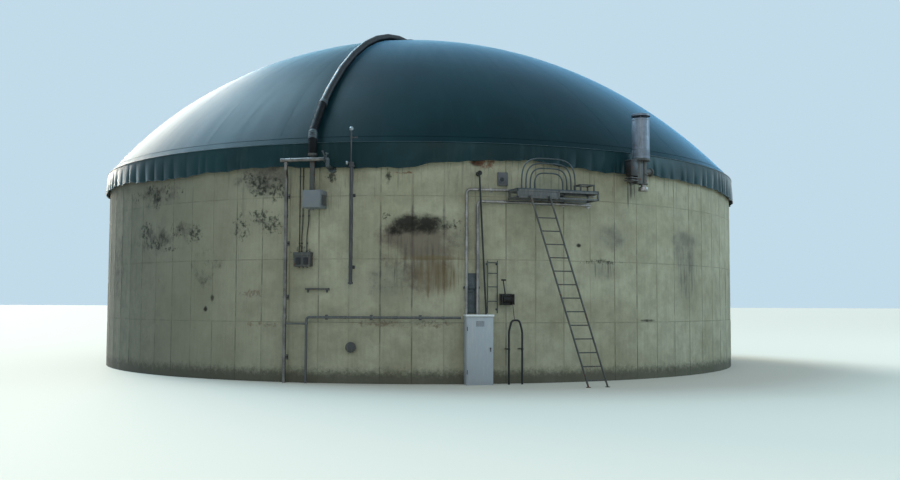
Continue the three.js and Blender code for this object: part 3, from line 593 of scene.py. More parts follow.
# Every stain's bearing, height, half width, half height and, where it isn't 1, its strength
STAINS = {
    StainKind.SOOT: (
        (-0.6, 3.74, 1.05, 0.34, 1.16), (1.3, 3.7, 0.4, 0.22, 0.95), (-3.2, 3.62, 0.5, 0.2, 0.95),
        (-45.5, 4.7, 1.5, 0.4, 0.62), (-45.0, 3.55, 1.6, 0.42, 0.66), (-37.5, 3.7, 0.9, 0.4, 0.56),
        (-23.0, 4.85, 1.1, 0.5, 0.64), (-32.5, 2.7, 0.9, 0.8, 0.56), (-59.0, 2.9, 0.9, 1.6, 0.56),
        (-31.3, 2.0, 0.1, 0.16), (-32.6, 1.73, 0.1, 0.1), (22.5, 3.31, 0.11, 0.07),
        (35.0, 1.47, 0.4, 0.05, 0.9), (7.5, 5.24, 0.22, 0.16, 1.1),
    ),
    StainKind.WASH: (
        (-0.8, 3.45, 1.15, 0.5, 1.45), (0.6, 3.15, 1.0, 0.45, 1.4), (1.0, 2.6, 0.9, 0.7, 1.1),
        (-4.0, 3.1, 0.7, 0.9, 0.7),
    ),
    StainKind.SILT: (
        (1.4, 2.95, 1.0, 0.1, 1.5), (1.8, 2.5, 0.8, 0.7, 1.3), (4.6, 2.9, 0.6, 0.5, 0.8),
    ),
    StainKind.DAMP: (
        (4.6, 3.4, 0.8, 0.6, 1.0), (-44.0, 4.68, 1.4, 0.7, 0.9), (-44.5, 3.45, 1.6, 0.7, 0.9),
        (-36.5, 3.5, 1.0, 0.6, 0.8), (-22.6, 4.9, 1.2, 0.6, 1.45), (-24.0, 3.8, 1.1, 0.7, 0.8),
        (-59.0, 2.85, 1.2, 1.8, 0.9), (-31.0, 2.6, 1.4, 1.0, 0.6), (-4.6, 3.2, 1.1, 1.2, 0.75),
        (28.2, 3.55, 0.9, 0.5, 1.15), (26.6, 2.7, 1.0, 0.4, 0.9), (43.2, 3.3, 0.5, 0.9, 1.1),
        (46.2, 3.2, 0.4, 1.0, 1.1), (44.8, 3.6, 1.1, 0.4, 1.22), (44.8, 2.6, 0.8, 1.3, 0.9),
        (-4.0, 2.4, 1.1, 0.8, 1.1), (-9.0, 2.3, 0.8, 0.8, 0.8), (-5.62, 2.8, 0.08, 2.2, 1.1),
        (-1.33, 3.2, 0.08, 2.4, 1.15), (2.96, 3.3, 0.07, 2.0, 1.1), (7.24, 3.6, 0.06, 1.6, 0.9),
        (32.96, 2.6, 0.06, 1.6, 0.9),
    ),
    StainKind.RUN: (
        (-1.6, 3.0, 0.9, 1.3, 1.2), (1.4, 2.8, 0.8, 1.2, 1.2), (3.9, 3.1, 0.4, 1.0, 0.9),
        (-57.0, 3.0, 2.6, 2.2, 1.0), (-27.0, 3.4, 0.5, 1.6), (-12.0, 4.4, 2.4, 1.2, 0.7),
        (14.0, 4.9, 5.0, 0.8, 0.6), (26.5, 2.7, 0.7, 0.4, 1.1), (45.0, 2.8, 1.1, 1.3, 1.2),
        (31.3, 4.75, 0.05, 0.6, 1.7), (31.9, 4.85, 0.06, 0.5, 1.7), (32.6, 4.8, 0.05, 0.4, 1.6),
        (1.8, 2.5, 0.5, 0.6, 1.2), (-5.62, 2.6, 0.06, 2.2, 1.2), (-1.33, 3.4, 0.06, 2.6, 1.3),
        (2.96, 3.3, 0.05, 1.8, 1.1), (-9.9, 3.4, 0.05, 1.8, 1.0), (-14.2, 3.0, 0.05, 1.6, 1.1),
    ),
    StainKind.SPECK: (
        (-50.5, 4.72, 0.7, 0.26, 0.8), (-46.4, 4.86, 0.5, 0.24), (-44.4, 4.6, 0.45, 0.4),
        (-41.6, 4.75, 0.26, 0.5, 0.9), (-38.2, 4.7, 0.3, 0.3, 0.75), (-47.4, 3.74, 0.55, 0.42),
        (-44.6, 3.4, 0.9, 0.26), (-41.0, 3.25, 0.6, 0.1), (-39.4, 3.7, 0.55, 0.34, 0.85),
        (-35.3, 3.62, 0.6, 0.4, 0.9), (-25.3, 4.92, 0.4, 0.3, 0.9), (-23.2, 4.72, 0.55, 0.5),
        (-20.8, 4.62, 0.45, 0.5), (-26.4, 3.72, 0.45, 0.6, 0.85), (-23.4, 3.98, 0.5, 0.32),
        (-21.3, 3.78, 0.5, 0.42), (-16.6, 3.1, 0.5, 0.5, 0.85), (4.4, 3.75, 0.6, 0.3, 0.8),
        (-4.7, 4.85, 0.14, 0.35, 0.95), (-4.8, 3.92, 0.26, 0.16, 0.95), (-3.6, 2.45, 0.7, 0.6, 0.55),
        (26.4, 2.92, 0.9, 0.12, 0.95), (-12.5, 4.93, 0.22, 0.26, 1.15),
    ),
    StainKind.MOSS: (
        (-44.5, 2.4, 0.6, 0.34, 0.8), (-24.5, 2.1, 0.6, 0.18, 0.95), (-22.4, 1.36, 1.1, 0.14, 0.9),
        (-5.2, 1.4, 1.3, 0.16), (1.6, 1.4, 0.9, 0.16),
    ),
    StainKind.RUST: (
        (8.4, 5.22, 0.45, 0.24), (-2.6, 4.97, 0.5, 0.05, 0.9),
    ),
}


@dataclass(frozen=True)
class PaintedConcrete(Finish):
    """Cream masonry paint, rolled on concrete cast against 0.75 m formwork panels.

    The eye sees a chalky coat with faint panel tones, dark dirt in the panel joints, rain
    streaks under the skirt, black algae where water stands, and a sooty leak with brown runs.
    The coat also carries painted shade: it darkens towards -X, with dirt mixed in, and at the
    foot of the wall, with splashed soil mixed in.
    """

    light: str = "#9f9b85"
    warm: str = "#928d76"
    # The dirt colour also paints the shade towards -X
    dirt: str = "#56564c"
    # The soil colour also paints the shade at the foot of the wall
    soil_and_shade: str = "#3f3d33"
    cloud_mm: float = 1400.0
    patch_mm: float = 330.0
    speck_mm: float = 105.0
    grain_mm: float = 22.0
    streak_mm: float = 70.0
    # Span of x in metres over which the painted shade towards -X grows
    shade_span: Span = (-1.0, -8.8)
    rain_foot: float = 3.6

    def dress(self, tree: NodeTree, place: NodeSocket) -> dict:
        """Builds the paint from its panels, joints, weather, stains and painted shade."""
        axes = add(tree, "SeparateXYZ", (place,)).node.outputs
        back = add(tree, "Math", (axes[1], -1.0), **TIMES)
        angle = add(tree, "Math", (axes[0], back), operation="ARCTAN2")
        along = add(tree, "Math", (angle, WALL_RADIUS), **TIMES)
        noise = {
            "cloud": add(tree, "TexNoise", cloudy(place, self.cloud_mm, 5.0, 0.62)),
            "patch": add(tree, "TexNoise", cloudy(place, self.patch_mm, 6.0, 0.7)),
            "speck": add(tree, "TexNoise", cloudy(place, self.speck_mm, 6.0, 0.74)),
            "grain": add(tree, "TexNoise", cloudy(place, self.grain_mm)),
            "streak": upright(tree, place, 0.07, self.streak_mm),
        }
        tone, joint = self.panels(tree, angle, axes[2], noise)
        warmth = add(tree, "MapRange", (noise["cloud"], 0.38, 0.64))
        base = add(tree, "Mix", over(warmth, self.light, self.warm), MIX_RESULT)
        for pattern, *levels in (
            (noise["patch"], 0.3, 0.66, 0.86, 1.08),
            (noise["grain"], 0.3, 0.7, 0.96, 1.03),
            (noise["streak"], 0.34, 0.62, 0.95, 1.03),
            (joint, 0.0, 1.0, 1.0, 0.5),
        ):
            shade = add(tree, "MapRange", (pattern, *levels))
            tone = add(tree, "Math", (shade, tone), **TIMES)
        colour = add(tree, "HueSaturation", {"Color": base, "Value": tone})
        # Painted shade with dirt mixed in on the -X side, then rain streaks that fade from the wall top
        for source, reach, pattern, levels in (
            (axes[0], (*self.shade_span, 0.0, 0.95), "patch", (0.3, 0.66, 0.78, 1.0)),
            (axes[2], (self.rain_foot, WALL_TOP, 0.0, 0.6), "streak", (0.5, 0.68)),
        ):
            near = add(tree, "MapRange", (source, *reach))
            broken = add(tree, "MapRange", (noise[pattern], *levels))
            mask = add(tree, "Math", (near, broken), **TIMES)
            colour = add(tree, "Mix", over(mask, colour, self.dirt), MIX_RESULT)
        plane = add(tree, "CombineXYZ", (along, axes[2]))
        for kind in StainKind:
            mask = self.stained(tree, plane, kind, noise)
            colour = add(tree, "Mix", over(mask, colour, kind.value.colour), MIX_RESULT)
        # Painted shade at the foot of the wall, mixed with splashed soil
        colour = add(tree, "Mix", over(self.splashed_and_shaded(tree, axes[2], noise), colour, self.soil_and_shade), MIX_RESULT)
        rough = add(tree, "MapRange", (noise["speck"], 0.3, 0.7, 0.78, 0.94))
        sand = add(tree, "Math", (noise["grain"], 0.5, noise["patch"]), **PLUS_TIMES)
        normal = relief(tree, add(tree, "Math", (joint, -0.9, sand), **PLUS_TIMES), 8 * MM, 0.5)
        return {"Base Color": colour, "Roughness": rough, "Normal": normal, "Specular IOR Level": 0.3}

    def panels(self, tree: NodeTree, angle: NodeSocket, height: NodeSocket, noise: dict) -> tuple:
        """Panel tones and joints.

        Args:
            tree: The node tree.
            angle: The bearing in radians.
            height: The height in metres.
            noise: The paint's patterns by name.

        Returns:
            A tone for each panel, and the dirt in the joints.
        """
        turns = math.degrees(1.0) / PANEL_ANGLE
        across = add(tree, "Math", (angle, turns, -PANEL_PHASE / PANEL_ANGLE), **PLUS_TIMES)
        lift = add(tree, "Math", (height, 1.0 / LIFT_PITCH, -LIFT_FIRST / LIFT_PITCH), **PLUS_TIMES)
        column = add(tree, "Math", (across,), operation="FLOOR")
        row = add(tree, "Math", (lift,), operation="FLOOR")
        near = add(tree, "Math", (across,), operation="ROUND")
        chance = add(tree, "TexWhiteNoise", (add(tree, "CombineXYZ", (column, row)),))
        dirty = add(tree, "TexWhiteNoise", (add(tree, "CombineXYZ", (near, row, 3.0)),))
        tone = add(tree, "MapRange", (chance, 0.0, 1.0, 0.95, 1.02), **LINEAR)
        upright = add(tree, "Math", (across, 0.5), operation="PINGPONG")
        level = add(tree, "Math", (lift, 0.5), operation="PINGPONG")
        edge = add(tree, "MapRange", (upright, 0.006, 0.036, 1.0, 0.0))
        seam = add(tree, "MapRange", (level, 0.003, 0.01, 0.6, 0.0))
        share = add(tree, "MapRange", (dirty, 0.0, 1.0, 0.15, 1.0), **LINEAR)
        edge = add(tree, "Math", (edge, share), **TIMES)
        broken = add(tree, "MapRange", (noise["patch"], 0.36, 0.58, 0.25, 1.0))
        joint = add(tree, "Math", (edge, seam), operation="MAXIMUM")
        return tone, add(tree, "Math", (joint, broken), **TIMES)

    def splashed_and_shaded(self, tree: NodeTree, height: NodeSocket, noise: dict) -> NodeSocket:
        """Painted shade along the foot of the wall, mixed with splashed soil."""
        wobble = add(tree, "Math", (noise["speck"], -0.45, height), **PLUS_TIMES)
        return add(tree, "MapRange", (wobble, -0.08, 0.2, 0.8, 0.0))

    def stained(self, tree: NodeTree, plane: NodeSocket, kind: StainKind, noise: dict) -> NodeSocket:
        """How strongly all stains of one kind cover a place.

        Args:
            tree: The node tree.
            plane: Place on the wall, along and up in metres.
            kind: The kind of stain.
            noise: The paint's patterns by name.

        Returns:
            The mask, from 0 to 1.
        """
        cover, look = None, kind.value
        for stain in (Stain(*row) for row in STAINS[kind]):
            middle = (math.radians(stain.bearing) * WALL_RADIUS, stain.height, 0.0)
            offset = add(tree, "VectorMath", (plane, middle), operation="SUBTRACT")
            size = (stain.half_width, stain.half_height, 1.0)
            scaled = add(tree, "VectorMath", (offset, size), operation="DIVIDE")
            reach = add(tree, "VectorMath", (scaled,), 1, operation="LENGTH")
            near = add(tree, "MapRange", (reach, *STAIN_FADE, stain.strength, 0.0))
            cover = near if cover is None else add(tree, "Math", (cover, near), operation="MAXIMUM")
        grown = add(tree, "Math", (cover, look.gain, noise[look.pattern]), **PLUS_TIMES)
        levels = (STAIN_LEVEL, STAIN_LEVEL + look.fade, 0.0, look.cover)
        return add(tree, "MapRange", (grown, *levels))


@dataclass(frozen=True)
class CoatedFabric(Finish):
    """Polyester fabric coated with green PVC, lacquered.

    The eye sees a deep blue-green satin skin with a broad soft sheen, faint dust that rain has
    drawn down the slope, and a plain weave that shows only close up.
    """

    colour: str = "#041e21"
    faded: str = "#05262a"
    dust: str = "#2f4f52"
    sheen: str = "#7db3d6"
    roughness: float = 0.42
    gloss: float = 0.05
    thread_mm: float = 9.0
    radial: bool = True

    def dress(self, tree: NodeTree, place: NodeSocket) -> dict:
        """Builds the fabric from its fading, dust and weave."""
        cloud = add(tree, "TexNoise", cloudy(place, 2600.0, 4.0, 0.55))
        fine = add(tree, "TexNoise", cloudy(place, 160.0, 5.0, 0.65))
        streak = self.streaks(tree, place)
        fading = add(tree, "MapRange", (cloud, 0.36, 0.66))
        base = add(tree, "Mix", over(fading, self.colour, self.faded), MIX_RESULT)
        settled = add(tree, "MapRange", (streak, 0.5, 0.74, 0.0, 0.14))
        dusty = add(tree, "Math", (settled, fine), **TIMES)
        colour = add(tree, "Mix", over(dusty, base, self.dust), MIX_RESULT)
        rough = add(tree, "MapRange", (streak, 0.35, 0.7, self.roughness, self.roughness + 0.05))
        # The real threads are about 1 mm apart, too fine to show, so they are drawn coarser.
        bands = {"Vector": place, "Scale": 2 * math.pi / (self.thread_mm * MM) / 20}
        weft = add(tree, "TexWave", bands, 1, bands_direction="X")
        warp = add(tree, "TexWave", bands, 1, bands_direction="Z")
        weave = add(tree, "Math", (weft, warp), **TIMES)
        slack = add(tree, "Math", (cloud, 5.0, weave), **PLUS_TIMES)
        return {
            "Base Color": colour, "Roughness": rough, "Normal": relief(tree, slack, 2 * MM, 0.2),
            "Specular IOR Level": self.gloss, "Sheen Weight": 1.0, "Sheen Roughness": 0.25,
            "Sheen Tint": linear(self.sheen),
        }

    def streaks(self, tree: NodeTree, place: NodeSocket) -> NodeSocket:
        """Draws noise out down the slope: from the crown on the roof, or straight down.

        Args:
            tree: The material's node tree.
            place: The place on the object.

        Returns:
            The noise.
        """
        if not self.radial:
            return upright(tree, place, 0.15, 180.0)
        flat = add(tree, "VectorMath", (place, (1.0, 1.0, 0.0)), **TIMES)
        way = add(tree, "VectorMath", (flat,), operation="NORMALIZE")
        wide = add(tree, "VectorMath", {0: way, "Scale": 8.0}, operation="SCALE")
        down = add(tree, "VectorMath", {0: place, "Scale": 0.12}, operation="SCALE")
        return add(tree, "TexNoise", cloudy(add(tree, "VectorMath", (wide, down)), 260.0))


@dataclass(frozen=True)
class Metal(Finish):
    """Bare or zinc-coated steel left outdoors.

    The eye sees a grey metal whose gloss is broken by handling, dust in upright streaks and,
    on zinc, the leafy spangle of its crystals.
    """

    colour: str = "#a8adac"
    dull: str = "#868a88"
    dirt: str = "#4f4a42"
    roughness: float = 0.34
    metallic: float = 1.0
    spangle_mm: float = 0.0
    dirt_share: float = 0.4

    def dress(self, tree: NodeTree, place: NodeSocket) -> dict:
        """Builds the metal from its tone, spangle, dust and streaks."""
        cloud = add(tree, "TexNoise", cloudy(place, 240.0, 5.0))
        fine = add(tree, "TexNoise", cloudy(place, 18.0))
        streak = upright(tree, place, 0.08, 45.0)
        tone = add(tree, "MapRange", (cloud, 0.34, 0.66))
        if self.spangle_mm:
            leaf = add(tree, "TexVoronoi", {"Vector": place, "Scale": 1.0 / (self.spangle_mm * MM)}, 1)
            tone = add(tree, "Math", (add(tree, "SeparateColor", (leaf,)), 0.5, tone), **PLUS_TIMES)
        base = add(tree, "Mix", over(tone, self.colour, self.dull), MIX_RESULT)
        run = add(tree, "MapRange", (streak, 0.5, 0.66, 0.0, self.dirt_share))
        worn = add(tree, "MapRange", (fine, 0.35, 0.6, 0.5, 1.0))
        grime = add(tree, "Math", (run, worn), **TIMES)
        colour = add(tree, "Mix", over(grime, base, self.dirt), MIX_RESULT)
        rough = add(tree, "MapRange", (fine, 0.35, 0.68, self.roughness, self.roughness + 0.2))
        normal = relief(tree, fine, 1 * MM, 0.15)
        return {"Base Color": colour, "Roughness": rough, "Normal": normal, "Metallic": self.metallic}


@dataclass(frozen=True)
class RustyPaint(Finish):
    """Steel under old paint that rust has broken through.

    The eye sees a dull coat, chipped to orange and brown scale at edges and in blotches.
    """

    colour: str = "#3b3b39"
    rust: str = "#6b3a20"
    scale: str = "#2c1d15"
    dust: str = "#6b665b"
    rust_share: float = 0.45
    roughness: float = 0.55

    def dress(self, tree: NodeTree, place: NodeSocket) -> dict:
        """Builds the coat, its chips and the rust in them."""
        blotch = add(tree, "TexNoise", cloudy(place, 120.0, 6.0, 0.68))
        fine = add(tree, "TexNoise", cloudy(place, 14.0))
        streak = upright(tree, place, 0.1, 40.0)
        low = 0.72 - 0.3 * self.rust_share
        chip = add(tree, "MapRange", (blotch, low, low + 0.05))
        grit = add(tree, "MapRange", (fine, 0.35, 0.62))
        rust = add(tree, "Mix", over(grit, self.scale, self.rust), MIX_RESULT)
        settled = add(tree, "MapRange", (streak, 0.48, 0.68, 0.0, 0.45))
        dusty = add(tree, "Mix", over(settled, self.colour, self.dust), MIX_RESULT)
        rough = add(tree, "MapRange", (chip, 0.0, 1.0, self.roughness, 0.9), **LINEAR)
        colour = add(tree, "Mix", over(chip, dusty, rust), MIX_RESULT)
        normal = relief(tree, add(tree, "Math", (chip, 0.5, fine), **PLUS_TIMES), 1 * MM, 0.35)
        return {"Base Color": colour, "Roughness": rough, "Normal": normal}


@dataclass(frozen=True)
class Moulded(Finish):
    """Moulded plastic or rubber, greyed by sun and dust.

    The eye sees one dull colour with a fine grain, paler where dust settles.
    """

    colour: str = "#7c8082"
    dust: str = "#96958c"
    roughness: float = 0.5
    grain_mm: float = 6.0
    dust_share: float = 0.4
    gloss: float = 0.5

    def dress(self, tree: NodeTree, place: NodeSocket) -> dict:
        """Builds the plastic from its grain and dust."""
        cloud = add(tree, "TexNoise", cloudy(place, 180.0, 5.0))
        grain = add(tree, "TexNoise", cloudy(place, self.grain_mm, 3.0))
        settled = add(tree, "MapRange", (cloud, 0.4, 0.7, 0.0, self.dust_share))
        colour = add(tree, "Mix", over(settled, self.colour, self.dust), MIX_RESULT)
        rough = add(tree, "MapRange", (cloud, 0.3, 0.7, self.roughness, self.roughness + 0.18))
        normal = relief(tree, grain, 0.5 * MM, 0.2)
        gloss = self.gloss
        return {"Base Color": colour, "Roughness": rough, "Normal": normal, "Specular IOR Level": gloss}


@dataclass(frozen=True)
class CastConcrete(Finish):
    """Bare concrete, floated and unpainted, with a sandy grey face and small pores."""

    colour: str = "#93928a"
    dark: str = "#7a7971"

    def dress(self, tree: NodeTree, place: NodeSocket) -> dict:
        """Builds the concrete from its clouds and sand."""
        cloud = add(tree, "TexNoise", cloudy(place, 700.0, 6.0))
        sand = add(tree, "TexNoise", cloudy(place, 12.0, 3.0))
        tone = add(tree, "MapRange", (cloud, 0.35, 0.65))
        colour = add(tree, "Mix", over(tone, self.colour, self.dark), MIX_RESULT)
        return {"Base Color": colour, "Roughness": 0.92, "Normal": relief(tree, sand, 2 * MM, 0.4)}


@dataclass(frozen=True)
class SightGlass(Finish):
    """Toughened glass over a dark tank: nearly black, with a sharp gloss and a film of dust."""

    colour: str = "#0d1412"
    dust: str = "#5b5f58"

    def dress(self, tree: NodeTree, place: NodeSocket) -> dict:
        """Builds the dark pane."""
        film = add(tree, "TexNoise", cloudy(place, 60.0))
        dusty = add(tree, "MapRange", (film, 0.45, 0.7, 0.0, 0.35))
        rough = add(tree, "MapRange", (film, 0.4, 0.7, 0.06, 0.35))
        return {
            "Base Color": add(tree, "Mix", over(dusty, self.colour, self.dust), MIX_RESULT),
            "Roughness": rough,
        }


WALL_PAINT = PaintedConcrete("masonry_paint", "painted_concrete")
BARE_CONCRETE = CastConcrete("floated_concrete", "raw_concrete")
ROOF_FABRIC = CoatedFabric("green_coated_fabric", "green_membrane")
SKIRT_FABRIC = CoatedFabric(
    "green_skirt_fabric", "green_skirt", colour="#0b2629", faded="#103135", dust="#5a6c6d",
    sheen="#e7edf2", roughness=0.38, gloss=0.15, radial=False,
)
STAINLESS = Metal(
    "drawn_stainless_tube", "stainless_steel", colour="#a09a96", dull="#7d7976", roughness=0.32
)
RISER_STEEL = Metal("dull_stainless_tube", "stainless_steel", colour="#7f7a77", dull="#625f5c")
# Stainless sheet whose bluish tint is partly a painted reflection of the sky
SKY_TINTED_STEEL = Metal(
    "rolled_stainless_sky_tinted", "stainless_steel", colour="#848b95", dull="#757c86", roughness=0.45
)
ZINC = Metal(
    "hot_dip_zinc", "galvanised_steel", colour="#60676a", dull="#4b5154", roughness=0.5, metallic=0.8,
    spangle_mm=14.0,
)
# A pale zinc, partly a painted highlight for the glints on the probe head and gland knob
GLINT_ZINC = Metal("zinc_with_painted_glint", "galvanised_steel", colour="#94999b", dull="#75797b", metallic=0.8)
DARK_STEEL = RustyPaint("dark_painted_steel", "dark_steel")
PIPE_PAINT = RustyPaint(
    "old_pipe_paint", "dark_steel", colour="#302e31", dust="#63605a", rust_share=0.15, roughness=0.42
)
WEATHERED_STEEL = RustyPaint(
    "weathered_steel", "dark_steel", colour="#4b4b4b", dust="#76736b", rust_share=0.2, roughness=0.45
)
HOSE_RUBBER = Moulded(
    "hose_rubber", "black_hose", colour="#0a0b0d", dust="#131418", roughness=0.3, dust_share=0.15,
    gloss=0.45,
)
HOUSING = Moulded("grey_housing", "grey_plastic", colour="#666b6f", dust="#787871")
CABINET = RustyPaint(
    "cabinet_enamel", "cabinet_paint", colour="#999ea3", dust="#acaba4", rust_share=0.08, roughness=0.4,
    rust="#7a5a3e",
)
# A darker, duller copy of the hose rubber: painted shade on the lower hose
SHADED_HOSE_RUBBER = Moulded(
    "shaded_hose_rubber", "black_hose", colour="#08080b", dust="#121217", dust_share=0.15, gloss=0.16
)
# A paler copy of the cabinet enamel: painted highlight on the sky-lit lid
LIT_CABINET_LID = RustyPaint(
    "cabinet_lid_painted_highlight", "cabinet_paint", colour="#d3d5d6", dust="#c4c3bd", rust_share=0.05, roughness=0.4
)
GREASY_STEEL = RustyPaint(
    "greasy_black_steel", "dark_steel", colour="#1a1817", dust="#2c2521", rust_share=0.25, roughness=0.45
)
SIGHT_FRAME = Moulded("dark_cast_frame", "grey_plastic", colour="#4b4d52", dust="#68685f")
PANE = SightGlass("sight_pane", "grey_plastic")


@dataclass
class Tank:
    """The concrete tank: its wall segments keep their shape and get paint, fins and plugs."""

    segments: int = 12
    fin_width: float = 0.012
    fin_proud: float = 0.004
    plug_radius: float = 0.022
    plug_offsets: tuple[float, ...] = (0.32, 1.18)
    joint_gap: float = 0.006
    rng: random.Random = field(default_factory=lambda: random.Random(11))

    def build(self) -> None:
        """Paints the wall and adds what the formwork left on it."""
        for i in range(self.segments):
            WALL_PAINT.clothe(f"wall_{i + 1:02d}")
        BARE_CONCRETE.clothe("floor_slab")
        ZINC.clothe("clamp_rail")
        Solid(self.fins).piece("formwork_fins", WALL_PAINT)
        Solid(self.plugs).piece("tie_plugs", WALL_PAINT)

    def fins(self, solid: Solid) -> None:
        """Thin broken ridges where concrete squeezed out between the panels."""
        half = self.fin_width / 2
        for i in range(PANEL_COUNT):
            corner = PANEL_PHASE + i * PANEL_ANGLE
            solid.seat = Matrix.Rotation(math.radians(corner), 4, "Z")
            up = self.rng.uniform(0.05, 0.4)
            while up < WALL_TOP - 0.3:
                top = min(up + self.rng.uniform(0.5, 1.8), WALL_TOP - 0.12)
                proud = self.fin_proud * self.rng.uniform(0.5, 1.3)
                solid.block((-half, half), (WALL_RADIUS - 0.004, WALL_RADIUS + proud), (up, top))
                up = top + self.rng.uniform(0.04, 0.5)
            solid.seat = wall_seat(corner + PANEL_ANGLE / 2)
            for lift in range(3):
                level = LIFT_FIRST + lift * LIFT_PITCH
                left = -PANEL_WIDTH / 2 + self.joint_gap
                while left < PANEL_WIDTH / 2 - 0.06:
                    right = min(left + self.rng.uniform(0.12, 0.5), PANEL_WIDTH / 2 - self.joint_gap)
                    proud = self.fin_proud * self.rng.uniform(0.4, 1.0)
                    solid.block((left, right), (-0.004, proud), (level - half, level + half))
                    left = right + self.rng.uniform(0.0, 0.12)

    def plugs(self, solid: Solid) -> None:
        """Mortar plugs in the holes of the formwork ties, two in each panel and lift."""
        for i in range(PANEL_COUNT):
            solid.seat = wall_seat(PANEL_PHASE + (i + 0.5) * PANEL_ANGLE)
            for lift in range(-1, 3):
                for offset in self.plug_offsets:
                    up = LIFT_FIRST + lift * LIFT_PITCH + offset
                    if 0.1 < up < WALL_TOP - 0.6:
                        radius = self.plug_radius * self.rng.uniform(0.85, 1.15)
                        solid.pins(0.0, up, (-0.003, 0.0022, radius, 12, 0.0, radius * 0.8))


@dataclass
class GasRoof:
    """The inflated membrane with its welds, and the skirt that hangs from its rim."""

    sides: int = 168
    rings: int = 44
    thickness: float = 0.004
    gores: int = 28
    weld_width: float = 0.045
    weld_depth: float = 0.001
    weld_start: float = 0.06
    weld_end: float = 0.995
    weld_steps: int = 35
    bands: tuple[Span, ...] = ((0.9965, 0.03), (0.98, 0.025))
    band_lift: Span = (0.0005, 0.004)
    skirt_columns: int = 480
    skirt_rows: int = 14
    skirt_depth: float = 0.003
    skirt_width: float = 0.56
    fold_depth: float = 0.09
    hem_table: tuple[Span, ...] = (
        (-180.0, 5.12), (-120.0, 5.1), (-80.0, 5.14), (-54.9, 5.148), (-45.4, 5.066), (-39.1, 5.044),
        (-31.6, 5.105), (-21.4, 5.156), (-15.4, 5.106), (-9.8, 5.076), (-3.0, 5.068), (2.3, 5.198),
        (6.4, 5.259), (14.7, 5.311), (21.6, 5.194), (27.4, 5.136), (37.4, 5.169), (52.3, 5.115),
        (66.6, 5.02), (90.0, 5.06), (140.0, 5.13), (180.0, 5.12),
    )
    rng: random.Random = field(default_factory=lambda: random.Random(23))
    creases: list[Point] = field(default_factory=list)

    def build(self) -> None:
        """Builds the membrane, its welds and the four lengths of skirt."""
        membrane = Solid(self.membrane).piece("gas_membrane", ROOF_FABRIC, ["roof_membrane"], sharp=60)
        welds = Solid(self.welds).piece("membrane_welds", ROOF_FABRIC)
        self.creases = self.folds()
        for i, side in enumerate(("front_right", "back_right", "back_left", "front_left")):
            hung = self.skirt(i * 90.0)
            strip = hung.piece(f"skirt_{side}", SKIRT_FABRIC, ["membrane_skirt"], sharp=80)
            tubes = self.hems(i * 90.0).piece(f"skirt_hem_{side}", SKIRT_FABRIC)

    def membrane(self, solid: Solid) -> None:
        """One curved sheet from the crown to the rim."""
        places = [roof_place(i / self.rings) for i in range(self.rings + 1)]
        verts = [solid.bm.verts.new((radius, 0, up)) for radius, up in places]
        edges = [solid.bm.edges.new(pair) for pair in zip(verts, verts[1:])]
        solid.spin(verts + edges, Vector(), UP, self.sides)
        solid.weld()
        self.lean(solid)
        solid.thicken(self.thickness)

    def lean(self, solid: Solid) -> None:
        """Leans a shape with the roof that it is on."""
        for vert in solid.bm.verts:
            vert.co.x -= roof_lean(vert.co.z)

    def welds(self, solid: Solid) -> None:
        """Flat lapped welds between the gores, and the two bands above the rim."""
        half = self.weld_width / 2
        for gore in range(self.gores):
            turn = Matrix.Rotation(math.radians(PANEL_PHASE + (gore + 0.5) * 360 / self.gores), 4, "Z")
            radius, up = roof_place(self.weld_start, self.weld_depth)
            ends = [solid.bm.verts.new(turn @ Vector((x, -radius, up))) for x in (-half, half)]
            edges = [solid.bm.edges.new(ends)]
            before = Vector((0, -radius, up))
            for i in range(1, self.weld_steps + 1):
                share = self.weld_start + (self.weld_end - self.weld_start) * i / self.weld_steps
                radius, up = roof_place(share, self.weld_depth)
                after = Vector((0, -radius, up))
                verts, edges = solid.extrude(edges)
                bmesh.ops.translate(solid.bm, verts=verts, vec=turn @ after - turn @ before)
                before = after
        solid.thicken(self.weld_depth)
        for share, width in self.bands:
            self.band(solid, share, width)
        self.lean(solid)

    def band(self, solid: Solid, share: float, width: float) -> None:
        """Adds a flat band round the roof at a share of the way down, on its slope.

        Args:
            solid: The mesh to add to.
            share: Where its lower edge lies, from the crown to the rim.
            width: Its width.
        """
        spread = width / (ROOF_RADIUS * ROOF_EDGE)
        low, high = self.band_lift
        corners = [
            roof_place(share, low), roof_place(share, high), roof_place(share - spread, high),
            roof_place(share - spread, low),
        ]
        verts = [solid.bm.verts.new((radius, 0, up)) for radius, up in corners]
        edges = [solid.bm.edges.new((verts[i], verts[(i + 1) % 4])) for i in range(4)]
        solid.spin(verts + edges, Vector(), UP, self.sides)

    def hem_height(self, bearing: float) -> float:
        """Finds the height of the skirt's hem, with small sags between its ties.

        Args:
            bearing: Bearing in degrees.

        Returns:
            The height.
        """
        turned = (bearing + 180.0) % 360.0 - 180.0
        for (low, first), (high, last) in zip(self.hem_table, self.hem_table[1:]):
            if low <= turned <= high:
                t = (turned - low) / (high - low)
                smooth = t * t * (3 - 2 * t)
                turn = math.radians(turned)
                sag = 0.012 * math.sin(turn * 53) + 0.008 * math.sin(turn * 131)
                return first + (last - first) * smooth + sag
        return self.hem_table[0][1]

    def folds(self) -> list[Point]:
        """Draws the skirt's folds.

        Returns:
            For each where it starts in degrees, its size, and where its crest lies.
        """
        made, start = [], 0.0
        while start < 360.0:
            made.append((start, self.rng.uniform(0.25, 1.0), self.rng.uniform(0.3, 0.7)))
            start += self.rng.uniform(1.2, 3.2)
        return made

